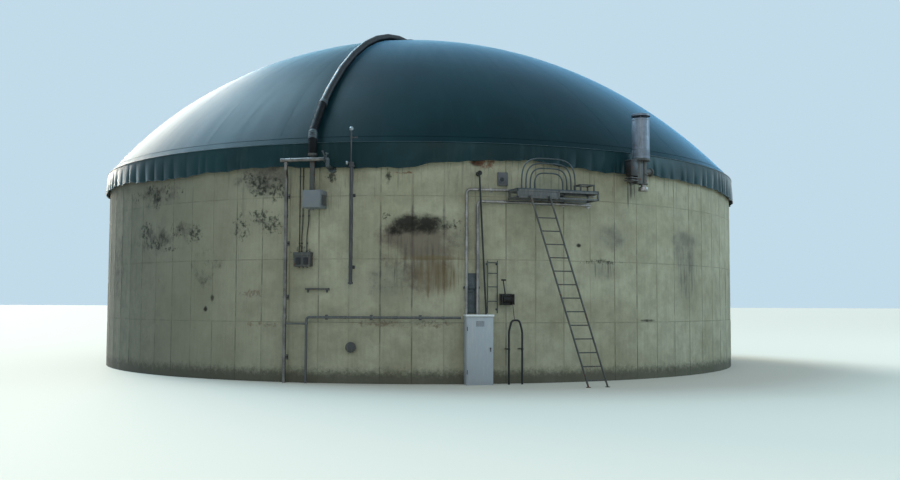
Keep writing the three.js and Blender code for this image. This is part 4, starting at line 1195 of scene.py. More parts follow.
    def fold(self, bearing: float, down: float) -> float:
        """How far the skirt stands in or out from its plain cone.

        Args:
            bearing: Bearing in degrees.
            down: Share of the way from the seam to the hem.

        Returns:
            The distance in metres, outwards positive.
        """
        turned = bearing % 360.0
        at = bisect_right(self.creases, turned, key=itemgetter(0)) - 1
        start, size, crest = self.creases[at]
        end = self.creases[at + 1][0] if at + 1 < len(self.creases) else 360.0
        share = (turned - start) / (end - start)
        rise = share / crest if share < crest else (1 - share) / (1 - crest)
        bulge = math.sin(math.pi / 2 * min(max(rise, 0.0), 1.0)) ** 0.9
        turn = math.radians(bearing)
        taut = math.exp(-(((bearing + 180.0) % 360.0 - 175.0) / 22.0) ** 2)
        loose = (0.45 + 0.55 * abs(math.sin(turn * 1.5 + 0.4)) ** 0.5) * (1.0 - 0.72 * taut)
        drag = 0.012 * taut * down * math.sin(turn * 62 + 4.5 * down)
        return self.fold_depth * size * loose * (bulge - 0.85) * down**1.15 + drag

    def skirt_place(self, bearing: float, down: float) -> Vector:
        """A place on the skirt.

        Args:
            bearing: Bearing in degrees.
            down: Share of the way from the seam to the hem.

        Returns:
            The place in the shared frame.
        """
        top = RIM_HEIGHT + 0.012
        up = top + (self.hem_height(bearing) - top) * down
        belly = 0.009 * math.sin(math.pi * min(down * 1.1, 1.0))
        radius = RIM_RADIUS + 0.004 + 0.038 * down + belly + self.fold(bearing, down)
        across, out, _ = around(bearing, radius, up)
        return Vector((across, -out, up))

    def skirt(self, start: float) -> Solid:
        """Shapes a quarter of the skirt, hung in folds.

        Args:
            start: The bearing that it starts at.

        Returns:
            The sheet.
        """
        solid = Solid()
        grid = bmesh.ops.create_grid(
            solid.bm, x_segments=self.skirt_columns, y_segments=self.skirt_rows, size=0.5,
        )
        for vert in grid["verts"]:
            bearing = start + (vert.co.x + 0.5) * 90.0
            vert.co = self.skirt_place(bearing, 0.5 - vert.co.y)
        solid.thicken(self.skirt_depth)
        return solid

    def hems(self, start: float) -> Solid:
        """Shapes the rolled edge at the seam and the welded hem of a quarter of the skirt.

        Args:
            start: The bearing that it starts at.

        Returns:
            Both edges.
        """
        solid = Solid()
        for down, radius, count in ((0.0, 0.014, 90), (0.985, 0.009, self.skirt_columns // 2)):
            route = []
            for i in range(count + 1):
                place = self.skirt_place(start + 90.0 * i / count, down)
                route.append((place.x, -place.y, place.z))
            solid.sweep(route, radius, 8)
        return solid


@dataclass
class AirLine:
    """The support-air hose from the crown to the blower."""

    hose_radius: float = 0.1
    rib_pitch: float = 0.042
    hose_bearing: float = -16.33
    drift: float = 1.05
    blower_bearing: float = -14.74
    hose_break: float = 0.872
    coupling_half: float = 0.06
    duct_out: float = 0.235
    duct_top: float = 5.42
    blower_base: float = 4.11
    blower_top: float = 4.53

    def build(self) -> None:
        """Builds the two hoses, their coupling and clamps, the cuff, the duct and the blower."""
        seat = Matrix.Rotation(math.radians(self.hose_bearing), 4, "Z")
        upper = [self.hose_place(i / 10) for i in range(1, 9)]
        coupling = Vector(self.hose_place(self.hose_break, 0.018))
        down = (coupling - Vector(upper[-1])).normalized()
        upper.append(coupling - down * self.coupling_half)
        self.ribbed(seat, upper).piece("upper_air_hose", HOSE_RUBBER, ["air_hose_upper"], sharp=50)
        across = APOTHEM * math.tan(math.radians(self.blower_bearing - self.hose_bearing))
        lower = [coupling + down * self.coupling_half] + rounded(
            [
                coupling + down * 2 * self.coupling_half,
                self.hose_place(0.94, 0.012),
                (across - 0.06, APOTHEM + 0.11, 5.96),
                (across, APOTHEM + self.duct_out, 5.73),
                (across, APOTHEM + self.duct_out, self.duct_top),
            ],
            0.16, 5,
        )
        self.ribbed(seat, lower).piece("lower_air_hose", SHADED_HOSE_RUBBER, ["air_hose_lower"], sharp=50)
        self.coupling(seat, coupling, down).piece("hose_clamps", ZINC, ["hose_coupling"])
        self.foot_cuff(seat, lower).piece("lower_hose_cuff", ZINC)
        Solid(self.cuff, seat).piece("crown_flange", ZINC, ["crown_cuff"])
        wall = wall_seat(self.blower_bearing)
        Solid(self.duct, wall).piece("blower_duct", DARK_STEEL, ["air_duct"])
        Solid(self.housing, wall).piece("blower_housing", HOUSING, ["blower_box"])
        # The louvre's dark steel paints shade on the box's right side
        Solid(self.louvre, wall).piece("blower_louvre", WEATHERED_STEEL)

    def hose_place(self, share: float, lift: float = 0.0) -> Point:
        """Finds a place of the hose on the flat strip of roof that it lies on.

        Args:
            share: Share of the way from the crown to the rim.
            lift: Height over the hose's axis.

        Returns:
            The place on its seat.
        """
        radius, up = roof_place(share, self.hose_radius + 0.003 + lift)
        strip = radius * math.cos(math.radians(PANEL_ANGLE / 2))
        lean, turn = roof_lean(roof_place(share)[1]), math.radians(self.hose_bearing)
        across = strip * math.tan(math.radians(self.drift)) - lean * math.cos(turn)
        return (across, strip - lean * math.sin(turn), up)

    def ribbed(self, seat: Matrix, corners: Sequence[Point]) -> Solid:
        """Shapes a hose with a stiffening rib at an even pitch along it.

        Args:
            seat: Its seat.
            corners: Its route.

        Returns:
            The hose.
        """
        solid = Solid(seat=seat)
        lengths = [0.0]
        for a, b in zip(corners, corners[1:]):
            lengths.append(lengths[-1] + (Vector(b) - Vector(a)).length)
        count = max(4, int(lengths[-1] / self.rib_pitch) * 4)
        route, radii = [], []
        leg = 0
        for i in range(count + 1):
            reach = lengths[-1] * i / count
            while leg < len(lengths) - 2 and lengths[leg + 1] < reach:
                leg += 1
            t = (reach - lengths[leg]) / (lengths[leg + 1] - lengths[leg])
            route.append(Vector(corners[leg]).lerp(Vector(corners[leg + 1]), t))
            radii.append(self.hose_radius * (1.0 if i % 4 == 0 else 0.955 if i % 2 else 0.925))
        solid.sweep(route, radii, 20)
        return solid

    def coupling(self, seat: Matrix, middle: Vector, down: Vector) -> Solid:
        """Shapes the sleeve that joins the hoses, with two worm-drive bands and their screws.

        Args:
            seat: The hose's seat.
            middle: The sleeve's middle.
            down: The way down the hose.

        Returns:
            The sleeve.
        """
        solid = Solid(seat=seat)
        half = self.coupling_half - FIT
        solid.rod(middle - down * half, middle + down * half, 0.112, 28, 0.004)
        side = down.cross(UP).normalized()
        for along in (-0.035, 0.035):
            band = middle + down * along
            solid.rod(band - down * 0.009, band + down * 0.009, 0.1165, 28)
            knob = band + side * 0.105 + UP * 0.05
            solid.rod(knob - UP * 0.02, knob + UP * 0.025, 0.011, 12)
        return solid

    def foot_cuff(self, seat: Matrix, route: Sequence[Point]) -> Solid:
        """Shapes the zinc sheet cuff with two bands where the lower hose bends over the rim.

        Args:
            seat: The hose's seat.
            route: The hose's route.

        Returns:
            The cuff.
        """
        solid = Solid(seat=seat)
        low, high = (next(Vector(p) for p in route if p[2] < up) for up in (5.78, 5.98))
        solid.rod(low, high, 0.107, 28, 0.003)
        for share in (0.2, 0.8):
            band = low.lerp(high, share)
            half = (high - low).normalized() * 0.008
            solid.rod(band - half, band + half, 0.111, 28)
        return solid

    def cuff(self, solid: Solid) -> None:
        """The spigot at the crown with its clamping ring and bolts."""
        x, mouth, _ = self.hose_place(0.1)
        out, base, high = mouth - 0.19, roof_place(0.1)[1] + 0.015, 0.236
        solid.posts(
            x, out, (base, base + high, 0.14, 32, 0.006), (base + 0.01, base + 0.028, 0.15, 32),
            (base + high - 0.018, base + high, 0.15, 32),
        )
        solid.bolt_ring((x, out, base + high), UPWARD, 0.125, 8, 0.008)
        solid.rod((x, out, base + 0.115), (x, mouth + 0.008, base + 0.101), 0.096, 24)
        solid.rod((x, mouth - 0.03, base + 0.105), (x, mouth - 0.012, base + 0.105), 0.1, 24)

    def duct(self, solid: Solid) -> None:
        """The upright duct between the hose and the blower, with its clamp bands."""
        out, top = self.duct_out, self.duct_top - FIT
        solid.posts(
            0, out, (self.blower_top, top - 0.05, 0.061, 28), (top - 0.06, top, 0.11, 28, 0.004),
            (top - 0.04, top - 0.024, 0.1125, 28),
        )
        for up in (self.blower_top + 0.03, self.blower_top + 0.42, top - 0.09):
            solid.posts(0, out, (up, up + 0.02, 0.065, 28))
            solid.block((-0.012, 0.012), (out + 0.058, out + 0.082), (up, up + 0.02), 0.002)

    def housing(self, solid: Solid) -> None:
        """The blower's box: its lid with four screws, its feet rails and its cable glands."""
        low, high = self.blower_base, self.blower_top
        solid.block((-0.15, 0.3), (0.04, 0.452), (low, high), 0.012)
        solid.block((-0.142, 0.292), (0.452, 0.47), (low + 0.008, high - 0.008), 0.006)
        for x in (-0.09, -0.035):
            solid.block((x, x + 0.05), (FIT, 0.05), (low + 0.06, high - 0.06), 0.003)
        for x, up in product((-0.12, 0.27), (low + 0.03, high - 0.03)):
            solid.pins(x, up, (0.468, 0.476, 0.009, 12))
        for x in (-0.06, 0.02):
            solid.posts(x, 0.2, (low - 0.03, low + 0.01, 0.016, 12), (low - 0.045, low - 0.028, 0.012, 6))

    def louvre(self, solid: Solid) -> None:
        """The air intake: a frame with tilted blades on the box's right side, whose dark finish is painted
        shade for that side.
        """
        low = self.blower_base + 0.08
        for x in (0.298, 0.306):
            solid.block((x, x + 0.004), (0.1, 0.38), (low - 0.012, low + 0.24))
        for i in range(9):
            up = low + i * 0.026
            solid.block((0.3, 0.316), (0.11, 0.37), (up, up + 0.006), 0.001)


@dataclass
class WallPipes:
    """The gas riser and rim pipe, the standpipe, the low pipe and the heating pipes."""

    riser_bearing: float = -18.7
    riser_ring: float = 10.15
    riser_radius: float = 0.043
    head_bearing: float = -18.22
    rim_ring: float = 10.36
    rim_up: float = 5.2603
    elbow_bearing: float = -12.75
    standpipe_bearing: float = -9.45
    gland_up: float = 5.178
    low_bearing: float = -15.6
    low_ring: float = 10.13
    low_up: float = 1.55
    heating_ring: float = 10.095
    heating_radius: float = 0.036
    bracket_bearing: float = 6.72

    def build(self) -> None:
        """Builds each pipe with its couplings, clips and bolts."""
        Solid(self.riser).piece("gas_riser_pipe", RISER_STEEL, ["gas_riser"])
        Solid(self.rim_pipe).piece("rim_gas_pipe", RISER_STEEL, ["rim_pipe"])
        Solid(self.elbow, wall_seat(self.elbow_bearing)).piece("rim_gas_elbow", ZINC, ["rim_elbow"])
        seat = wall_seat(self.standpipe_bearing)
        Solid(self.standpipe, seat).piece("level_standpipe", PIPE_PAINT, ["standpipe"])
        Solid(self.mast, seat).piece("level_probe_mast", PIPE_PAINT, ["probe_mast"])
        Solid(self.probe_head, seat).piece("probe_head", GLINT_ZINC)
        Solid(self.low_pipe).piece("low_gas_pipe", WEATHERED_STEEL, ["low_pipe"])
        flow = self.heating(5.95, 4.575, 24.9, (9.4, 20.0))
        flow.piece("heating_flow_pipe", STAINLESS, ["heating_flow"])
        back = self.heating(7.45, 4.295, 24.0, (11.0, 20.0))
        back.piece("heating_return_pipe", STAINLESS, ["heating_return"])
        seat = wall_seat(self.bracket_bearing)
        Solid(self.bracket, seat).piece("heating_bracket", ZINC, ["pipe_bracket"])

    def clip(self, solid: Solid, bearing: float, radius: float, up: float, pipe: float) -> None:
        """Adds a wall clip: a plate with two bolts, a stub and a band round the pipe.

        Args:
            solid: The mesh to add to.
            bearing: The clip's bearing.
            radius: Radius at which the pipe runs.
            up: The clip's height.
            pipe: Radius of the pipe.
        """
        kept, solid.seat = solid.seat, wall_seat(bearing)
        middle = math.radians(bearing - panel_middle(bearing))
        out = radius * math.cos(middle) - APOTHEM
        solid.block((-0.035, 0.035), (FIT, 0.006), (up - 0.06, up + 0.06), 0.002)
        solid.pins(0, up, (0.004, out, 0.014, 12))
        solid.bolts((0,), 0.006, (up - 0.042, up + 0.042), 0.008)
        solid.posts(0, out, (up - 0.02, up + 0.02, pipe + 0.006, 20))
        solid.seat = kept

    def riser(self, solid: Solid) -> None:
        """The gas riser on four clips, with its sleeves."""
        wall, head = (self.riser_bearing, self.riser_ring), (self.head_bearing, self.rim_ring)
        corners = [around(*wall, 0.0), around(*wall, 4.88), around(*head, 5.06), around(*head, 5.215)]
        solid.sweep(rounded(corners, 0.12), self.riser_radius, 20)
        for up in (0.6, 2.02, 3.3, 4.44):
            self.clip(solid, *wall, up, self.riser_radius)
        for up in (1.5, 3.9):
            solid.rod(around(*wall, up), around(*wall, up + 0.09), 0.051, 20, 0.004)
        solid.rod(around(*head, 5.16), around(*head, 5.2), 0.052, 20, 0.003)

    def rim_pipe(self, solid: Solid) -> None:
        """The pipe across the head of the riser, with three collars."""
        ring = (self.rim_ring, self.rim_up)
        solid.sweep(arc_route(-18.95, -12.96, *ring, 0.6), 0.045, 20)
        for bearing in (-18.85, -17.6, -13.5):
            start, end = around(bearing - 0.12, *ring), around(bearing + 0.12, *ring)
            solid.rod(start, end, 0.05, 20, 0.002)

    def elbow(self, solid: Solid) -> None:
        """The elbow into the wall with its flanges, bolts and test nozzles."""
        out, x, high, foot = 0.365, 0.055, self.rim_up, 5.08
        corners = [(-0.028, out, high), (x, out, high), (x, out, foot), (x, FIT, foot)]
        solid.sweep(rounded(corners, 0.07, 8), 0.052, 20)
        solid.bars(out, high, (-0.03, -0.008, 0.078, 24, 0.003))
        solid.bolt_ring((-0.008, out, high), ACROSS, 0.064, 8, 0.008)
        solid.pins(x, foot, (FIT, 0.026, 0.1, 28, 0.003))
        solid.bolt_ring((x, 0.026, foot), OUTWARD, 0.08, 8, 0.01)
        solid.rod((0.015, out, high), (-0.075, out, high + 0.19), 0.02, 12)
        solid.rod((-0.075, out, high + 0.185), (-0.08, out, high + 0.2), 0.027, 6)
        solid.rod((0, out, high), (0.03, out, high + 0.13), 0.022, 12)
        solid.rod((0.03, out, high + 0.12), (0.036, out, high + 0.146), 0.045, 18, 0.003)

    def standpipe(self, solid: Solid) -> None:
        """The standpipe with flanged ends on two clips."""
        out, low, high = STANDPIPE_OUT, 2.33, 5.13
        solid.posts(
            0, out, (low, high - 0.02, 0.044, 28), (high - 0.05, high, 0.072, 28, 0.004),
            (low, low + 0.05, 0.06, 28, 0.004), (low - 0.012, low + 0.01, 0.03, 6),
        )
        solid.bolt_ring((0, out, high), UPWARD, 0.06, 6, 0.007)
        for up in (4.43, 2.73):
            solid.block((-0.028, 0.028), (FIT, out), (up - 0.012, up + 0.012), 0.002)
            solid.block((-0.06, 0.06), (FIT, 0.008), (up - 0.04, up + 0.04), 0.002)
            solid.posts(0, out, (up - 0.02, up + 0.02, 0.05, 28))
            solid.bolts((-0.045, 0.045), 0.008, (up,), 0.008)

    def mast(self, solid: Solid) -> None:
        """The probe mast on the standpipe's head, with its arm and the stub of its gland."""
        out = STANDPIPE_OUT
        far, base = out + 0.055, 5.1303
        solid.posts(0, far, (base, 6.0, 0.016, 16), (5.74, 5.8, 0.024, 16))
        solid.posts(0, out, (base, 5.2, 0.06, 24, 0.004))
        solid.block((-0.02, 0.15), (far - 0.014, far + 0.014), (5.757, 5.783), 0.003)
        solid.posts(0.14, far, (5.745, 5.8, 0.01, 12))
        solid.bars(out + 0.02, self.gland_up, (-0.09, 0, 0.022, 16))

    def probe_head(self, solid: Solid) -> None:
        """The gland at the standpipe's head, and the turned cap on the mast, in a pale zinc that partly
        paints their glints.
        """
        far = STANDPIPE_OUT + 0.055
        solid.bars(STANDPIPE_OUT + 0.02, self.gland_up, (-0.125, -0.08, 0.045, 20, 0.004))
        cap = [(0, 0), (0, 0.03), (0.02, 0.048), (0.07, 0.048), (0.1, 0.025), (0.1, 0)]
        solid.turn(cap, (0, far, 5.93), (0, far, 6.03), 24)

    def low_pipe(self, solid: Solid) -> None:
        """The low pipe with its drop, its branch and three clips."""
        drop, ring, branch = (self.low_bearing, self.low_ring), (self.low_ring, self.low_up), 1.395
        corners = [around(*drop, 0.0), around(*drop, self.low_up), *arc_route(-14.6, 5.2, *ring, 2)]
        solid.sweep(rounded(corners, 0.11, 4), 0.03, 16)
        for bearing in (-13.0, -6.8, -0.2):
            self.clip(solid, bearing, *ring, 0.03)
        for bearing in (-10.2, -3.4, 2.8):
            start, end = around(bearing - 0.2, *ring), around(bearing + 0.2, *ring)
            solid.rod(start, end, 0.037, 16, 0.002)
        riser = Vector(around(self.riser_bearing, self.riser_ring, branch))
        aside = Vector(around(self.riser_bearing + 90.0, self.riser_radius + FIT, 0.0))
        solid.rod(around(*drop, branch), riser + aside, 0.022, 14)
        solid.rod(around(*drop, branch - 0.035), around(*drop, branch + 0.035), 0.037, 16, 0.003)

    def heating(self, bearing: float, height: float, end: float, clips: Iterable[float]) -> Solid:
        """A heating pipe: up from the cabinet, round on clips and into the wall.

        Args:
            bearing: Where it rises.
            height: Where it turns along the wall.
            end: Bearing where it goes into the wall.
            clips: Bearings of its clips.

        Returns:
            The pipe.
        """
        solid = Solid()
        ring, pipe = self.heating_ring, self.heating_radius
        corners = [
            around(bearing, ring, CABINET_TOP + FIT), around(bearing, ring, height),
            *arc_route(bearing + 1.25, end, ring, height, 2),
        ]
        solid.sweep(rounded(corners, 0.13, 5), pipe, 16)
        for place in clips:
            self.clip(solid, place, ring, height, pipe)
        for up in (2.0, 3.1, 4.0):
            self.clip(solid, bearing, ring, up, pipe)
        solid.rod(around(end, 10.099, height), around(end, APOTHEM + 0.009, height), 0.03, 16)
        solid.rod(around(end, APOTHEM + 0.025, height), around(end, APOTHEM + 0.009, height), 0.07, 24)
        return solid

    def bracket(self, solid: Solid) -> None:
        """The bracket behind the heating pipes and the cover strip between them."""
        solid.block((-0.195, 0.195), (FIT, 0.054), (2.235, 2.29), 0.004)
        solid.block((-0.15, 0.03), (FIT, 0.05), (2.16, 2.2), 0.004)
        solid.block((-0.1, 0.1), (FIT, 0.014), (1.65, 2.6), 0.003)
        solid.bolts((-0.08, 0.08), 0.014, (1.72, 2.53), 0.007)


@dataclass
class Electrics:
    """The junction box, the cables clipped to the wall, the ledge and the manifold cabinet."""

    junction_bearing: float = -16.3
    ledge_bearing: float = -14.3
    cabinet_bearing: float = 7.5
    cable_out: float = 0.03

    def build(self) -> None:
        """Builds the boxes and cables."""
        seat = wall_seat(self.junction_bearing)
        Solid(self.junction, seat).piece("junction_housing", DARK_STEEL, ["junction_box"])
        Solid(self.sockets, seat).piece("junction_sockets", HOSE_RUBBER)
        Solid(self.cables, seat).piece("clipped_cables", HOSE_RUBBER, ["wall_cables"])
        Solid(self.ledge, wall_seat(self.ledge_bearing)).piece("sill_ledge", DARK_STEEL, ["wall_ledge"])
        seat = wall_seat(self.cabinet_bearing)
        Solid(self.cabinet, seat).piece("heating_cabinet", CABINET, ["manifold_cabinet"])
        Solid(self.lid, seat).piece("cabinet_lid", LIT_CABINET_LID)
        Solid(self.cabinet_fittings, seat).piece("cabinet_fittings", DARK_STEEL)

    def junction(self, solid: Solid) -> None:
        """The dark junction box with its lid and three cable glands."""
        solid.block((-0.215, 0.215), (FIT, 0.15), (2.745, 3.065), 0.008)
        solid.block((-0.225, 0.225), (FIT, 0.162), (3.0, 3.085), 0.008)
        for x in (-0.1, 0.0, 0.1):
            solid.posts(x, 0.075, (2.715, 2.75, 0.018, 14))

    def sockets(self, solid: Solid) -> None:
        """The two flap sockets on the junction box."""
        for x in (-0.16, 0.04):
            solid.block((x, x + 0.12), (0.148, 0.172), (2.79, 2.96), 0.008)
            solid.block((x + 0.03, x + 0.09), (0.17, 0.175), (2.82, 2.9), 0.002)

    def cables(self, solid: Solid) -> None:
        """Three cables on their saddles."""
        out = self.cable_out
        for i, x in enumerate((-0.12, -0.06, 0.07)):
            top, far = (5.15, x + 0.02 * i) if i < 2 else (4.1097, x + 0.02 * i)
            corners = [(x, out, 3.095), (x, out, 3.5), (far, out, 3.8), (far, out, top)]
            solid.sweep(rounded(corners, 0.08, 4), 0.011, 12)
            solid.posts(x, out, (3.083, 3.12, 0.017, 12))
            for up in (u for u in (3.3, 3.95, 4.9) if u < top):
                near = x if up < 3.5 else far
                solid.block((near - 0.02, near + 0.02), (FIT, 0.044), (up, up + 0.014), 0.003)

    def ledge(self, solid: Solid) -> None:
        """The bar on the wall below the box, on two brackets."""
        solid.block((-0.3, 0.3), (FIT, 0.07), (2.195, 2.235), 0.004)
        for x in (-0.24, 0.24):
            solid.block((x - 0.012, x + 0.012), (FIT, 0.05), (2.13, 2.197), 0.002)

    def cabinet(self, solid: Solid) -> None:
        """The manifold cabinet: body and door leaf."""
        solid.block((-0.318, 0.318), (FIT, 0.32), (0.0, CABINET_TOP - 0.045), 0.006)
        solid.block((-0.3, 0.3), (0.32, 0.33), (0.06, 1.55), 0.004)

    def lid(self, solid: Solid) -> None:
        """The cabinet's lid, wider than its body, in a paler enamel that paints the highlight on its lit
        top.
        """
        solid.block((-0.335, 0.335), (FIT, 0.35), (CABINET_TOP - 0.045, CABINET_TOP), 0.008)

    def cabinet_fittings(self, solid: Solid) -> None:
        """Hinges, handle and vent slots of the cabinet."""
        solid.posts(-0.305, 0.334, (0.25, 0.35, 0.009, 12), (1.25, 1.35, 0.009, 12))
        solid.pins(0.25, 0.85, (0.33, 0.348, 0.018, 16))
        solid.block((0.24, 0.26), (0.34, 0.35), (0.77, 0.86), 0.003)
        for i in range(6):
            up = 1.36 + i * 0.022
            solid.block((-0.1, 0.1), (0.329, 0.334), (up, up + 0.007), 0.001)


@dataclass
class Platform:
    """The service platform with its grating, guard, step and ladders."""

    low: float = -1.15
    high: float = 0.97
    front: float = 0.7
    rear: float = 0.141
    base: float = 4.34
    top: float = 4.54
    floor_top: float = 4.57
    bearing: float = 17.956
    short_bearing: float = 9.5
    tube: float = 0.044
    bearing_bars: int = 62
    cross_rods: int = 14
    hoops: int = 4

    def build(self) -> None:
        """Builds the frame, grating, guard and ladders, and dresses the step."""
        seat = wall_seat(self.bearing)
        Solid(self.frame, seat).piece("platform_beams", WEATHERED_STEEL, ["platform_frame"])
        Solid(self.grating, seat).piece("platform_grating", ZINC, ["platform_floor"])
        Solid(self.guard, seat).piece("platform_hoops", ZINC, ["platform_guard"])
        DARK_STEEL.clothe("platform_step")
        Solid(self.ladder, seat).piece("platform_ladder", DARK_STEEL, ["access_ladder"])
        seat = wall_seat(self.short_bearing)
        Solid(self.short_ladder, seat).piece("wall_ladder", ZINC, ["short_ladder"])

    def frame(self, solid: Solid) -> None:
        """The tube frame, its wall arms with plates, and the kick plate."""
        tube = self.tube
        front = (self.front - tube, self.front)
        rear = (self.rear, self.rear + tube)
        middle = (self.low + self.high - tube) / 2
        height = (self.base, self.top)
        for up in (self.base, self.top - tube):
            level = (up, up + tube)
            solid.block((self.low, self.high), front, level, 0.004)
            solid.block((self.low, self.high), rear, level, 0.004)
            for x in (self.low, middle, self.high - tube):
                solid.block((x, x + tube), (rear[0], front[1]), level, 0.004)
        for x in (self.low, middle, self.high - tube):
            solid.block((x, x + tube), front, height, 0.004)
            solid.block((x, x + tube), rear, height, 0.004)
        for x in (-0.33, 0.27):
            solid.block((x, x + 0.06), rear, height, 0.004)
            arm, plate = (self.base + 0.07, self.base + 0.13), (self.base + 0.02, self.base + 0.18)
            solid.block((x, x + 0.06), (FIT, rear[0] + 0.01), arm, 0.004)
            solid.block((x - 0.03, x + 0.09), (FIT, 0.01), plate, 0.003)
            solid.bolts((x - 0.01, x + 0.07), 0.01, (self.base + 0.045, self.base + 0.155), 0.01)
        solid.block((self.low, middle), (self.front - 0.018, self.front - 0.008), height, 0.002)

    def grating(self, solid: Solid) -> None:
        """Bar grating: upright bearing bars, cross rods and a rim."""
        left, right = self.low + 0.006, self.high - 0.006
        near, far = self.rear + 0.006, self.front - 0.006
        bottom = self.top + FIT
        for i in range(self.bearing_bars + 1):
            x = left + (right - left - 0.003) * i / self.bearing_bars
            solid.block((x, x + 0.003), (near, far), (bottom, self.floor_top - 0.001))
        for i in range(self.cross_rods + 1):
            out = near + (far - near) * i / self.cross_rods
            level = (self.floor_top - 0.009, self.floor_top)
            solid.block((left, right), (out - 0.0025, out + 0.0025), level)
        for out in (near, far - 0.004):
            solid.block((left, right), (out, out + 0.004), (bottom, self.floor_top))

    def guard(self, solid: Solid) -> None:
        """Nested bent tubes that stand on a common foot bar."""
        middle, out, foot = -0.215, 0.4, self.floor_top
        solid.block((-0.93, 0.5), (out - 0.03, out + 0.03), (foot + FIT, foot + 0.03), 0.004)
        for i in range(self.hoops):
            reach, top = 0.7 - 0.11 * i, 5.33 - 0.115 * i
            rise, route = top - foot - 0.01, []
            for step in range(41):
                turn = math.pi * step / 40
                across = -math.copysign(abs(math.cos(turn)) ** 0.55, math.cos(turn)) * reach
                route.append((middle + across, out, foot + 0.01 + rise * math.sin(turn) ** 0.55))
            solid.sweep(route, 0.017, 14)
            for x in (middle - reach, middle + reach):
                solid.posts(x, out, (foot + 0.028, foot + 0.05, 0.026, 16))

    def ladder(self, solid: Solid) -> None:
        """The ladder that leans up to the platform's front."""
        width, rungs, pad = 0.49, 14, 0.016
        head, foot = Vector((-0.85, 0.76, self.base)), Vector((0.24, 1.5, pad / 2))
        for side in (0.0, width):
            x, hook = head.x + side, head.z + 0.03
            solid.rod((x, head.y, head.z + 0.06), (foot.x + side, foot.y, foot.z), 0.022, 16, 0.003)
            seat_out = self.front + FIT
            solid.pins(x, hook, (head.y, seat_out, 0.016, 14), (seat_out, self.front + 0.008, 0.034, 16))
            across = (foot.x + side - 0.045, foot.x + side + 0.045)
            solid.block(across, (foot.y - 0.035, foot.y + 0.035), (0.0, pad), 0.003)
        for i in range(rungs):
            place = head.lerp(foot, (i + 0.5) / rungs)
            solid.rod(place, (place.x + width, place.y, place.z), 0.014, 12)

    def short_ladder(self, solid: Solid) -> None:
        """The short wall ladder beside the heating pipes."""
        half, out, low, high = 0.12, 0.09, 1.66, 2.9
        for x in (-half, half):
            solid.posts(x, out, (low, high, 0.014, 14, 0.002))
            for up in (low + 0.09, high - 0.08):
                solid.pins(x, up, (out, FIT, 0.01, 12), (FIT, 0.006, 0.026, 16))
        for up in (1.94, 2.28, 2.6, 2.85):
            solid.bars(out, up, (-half, half, 0.011, 12))


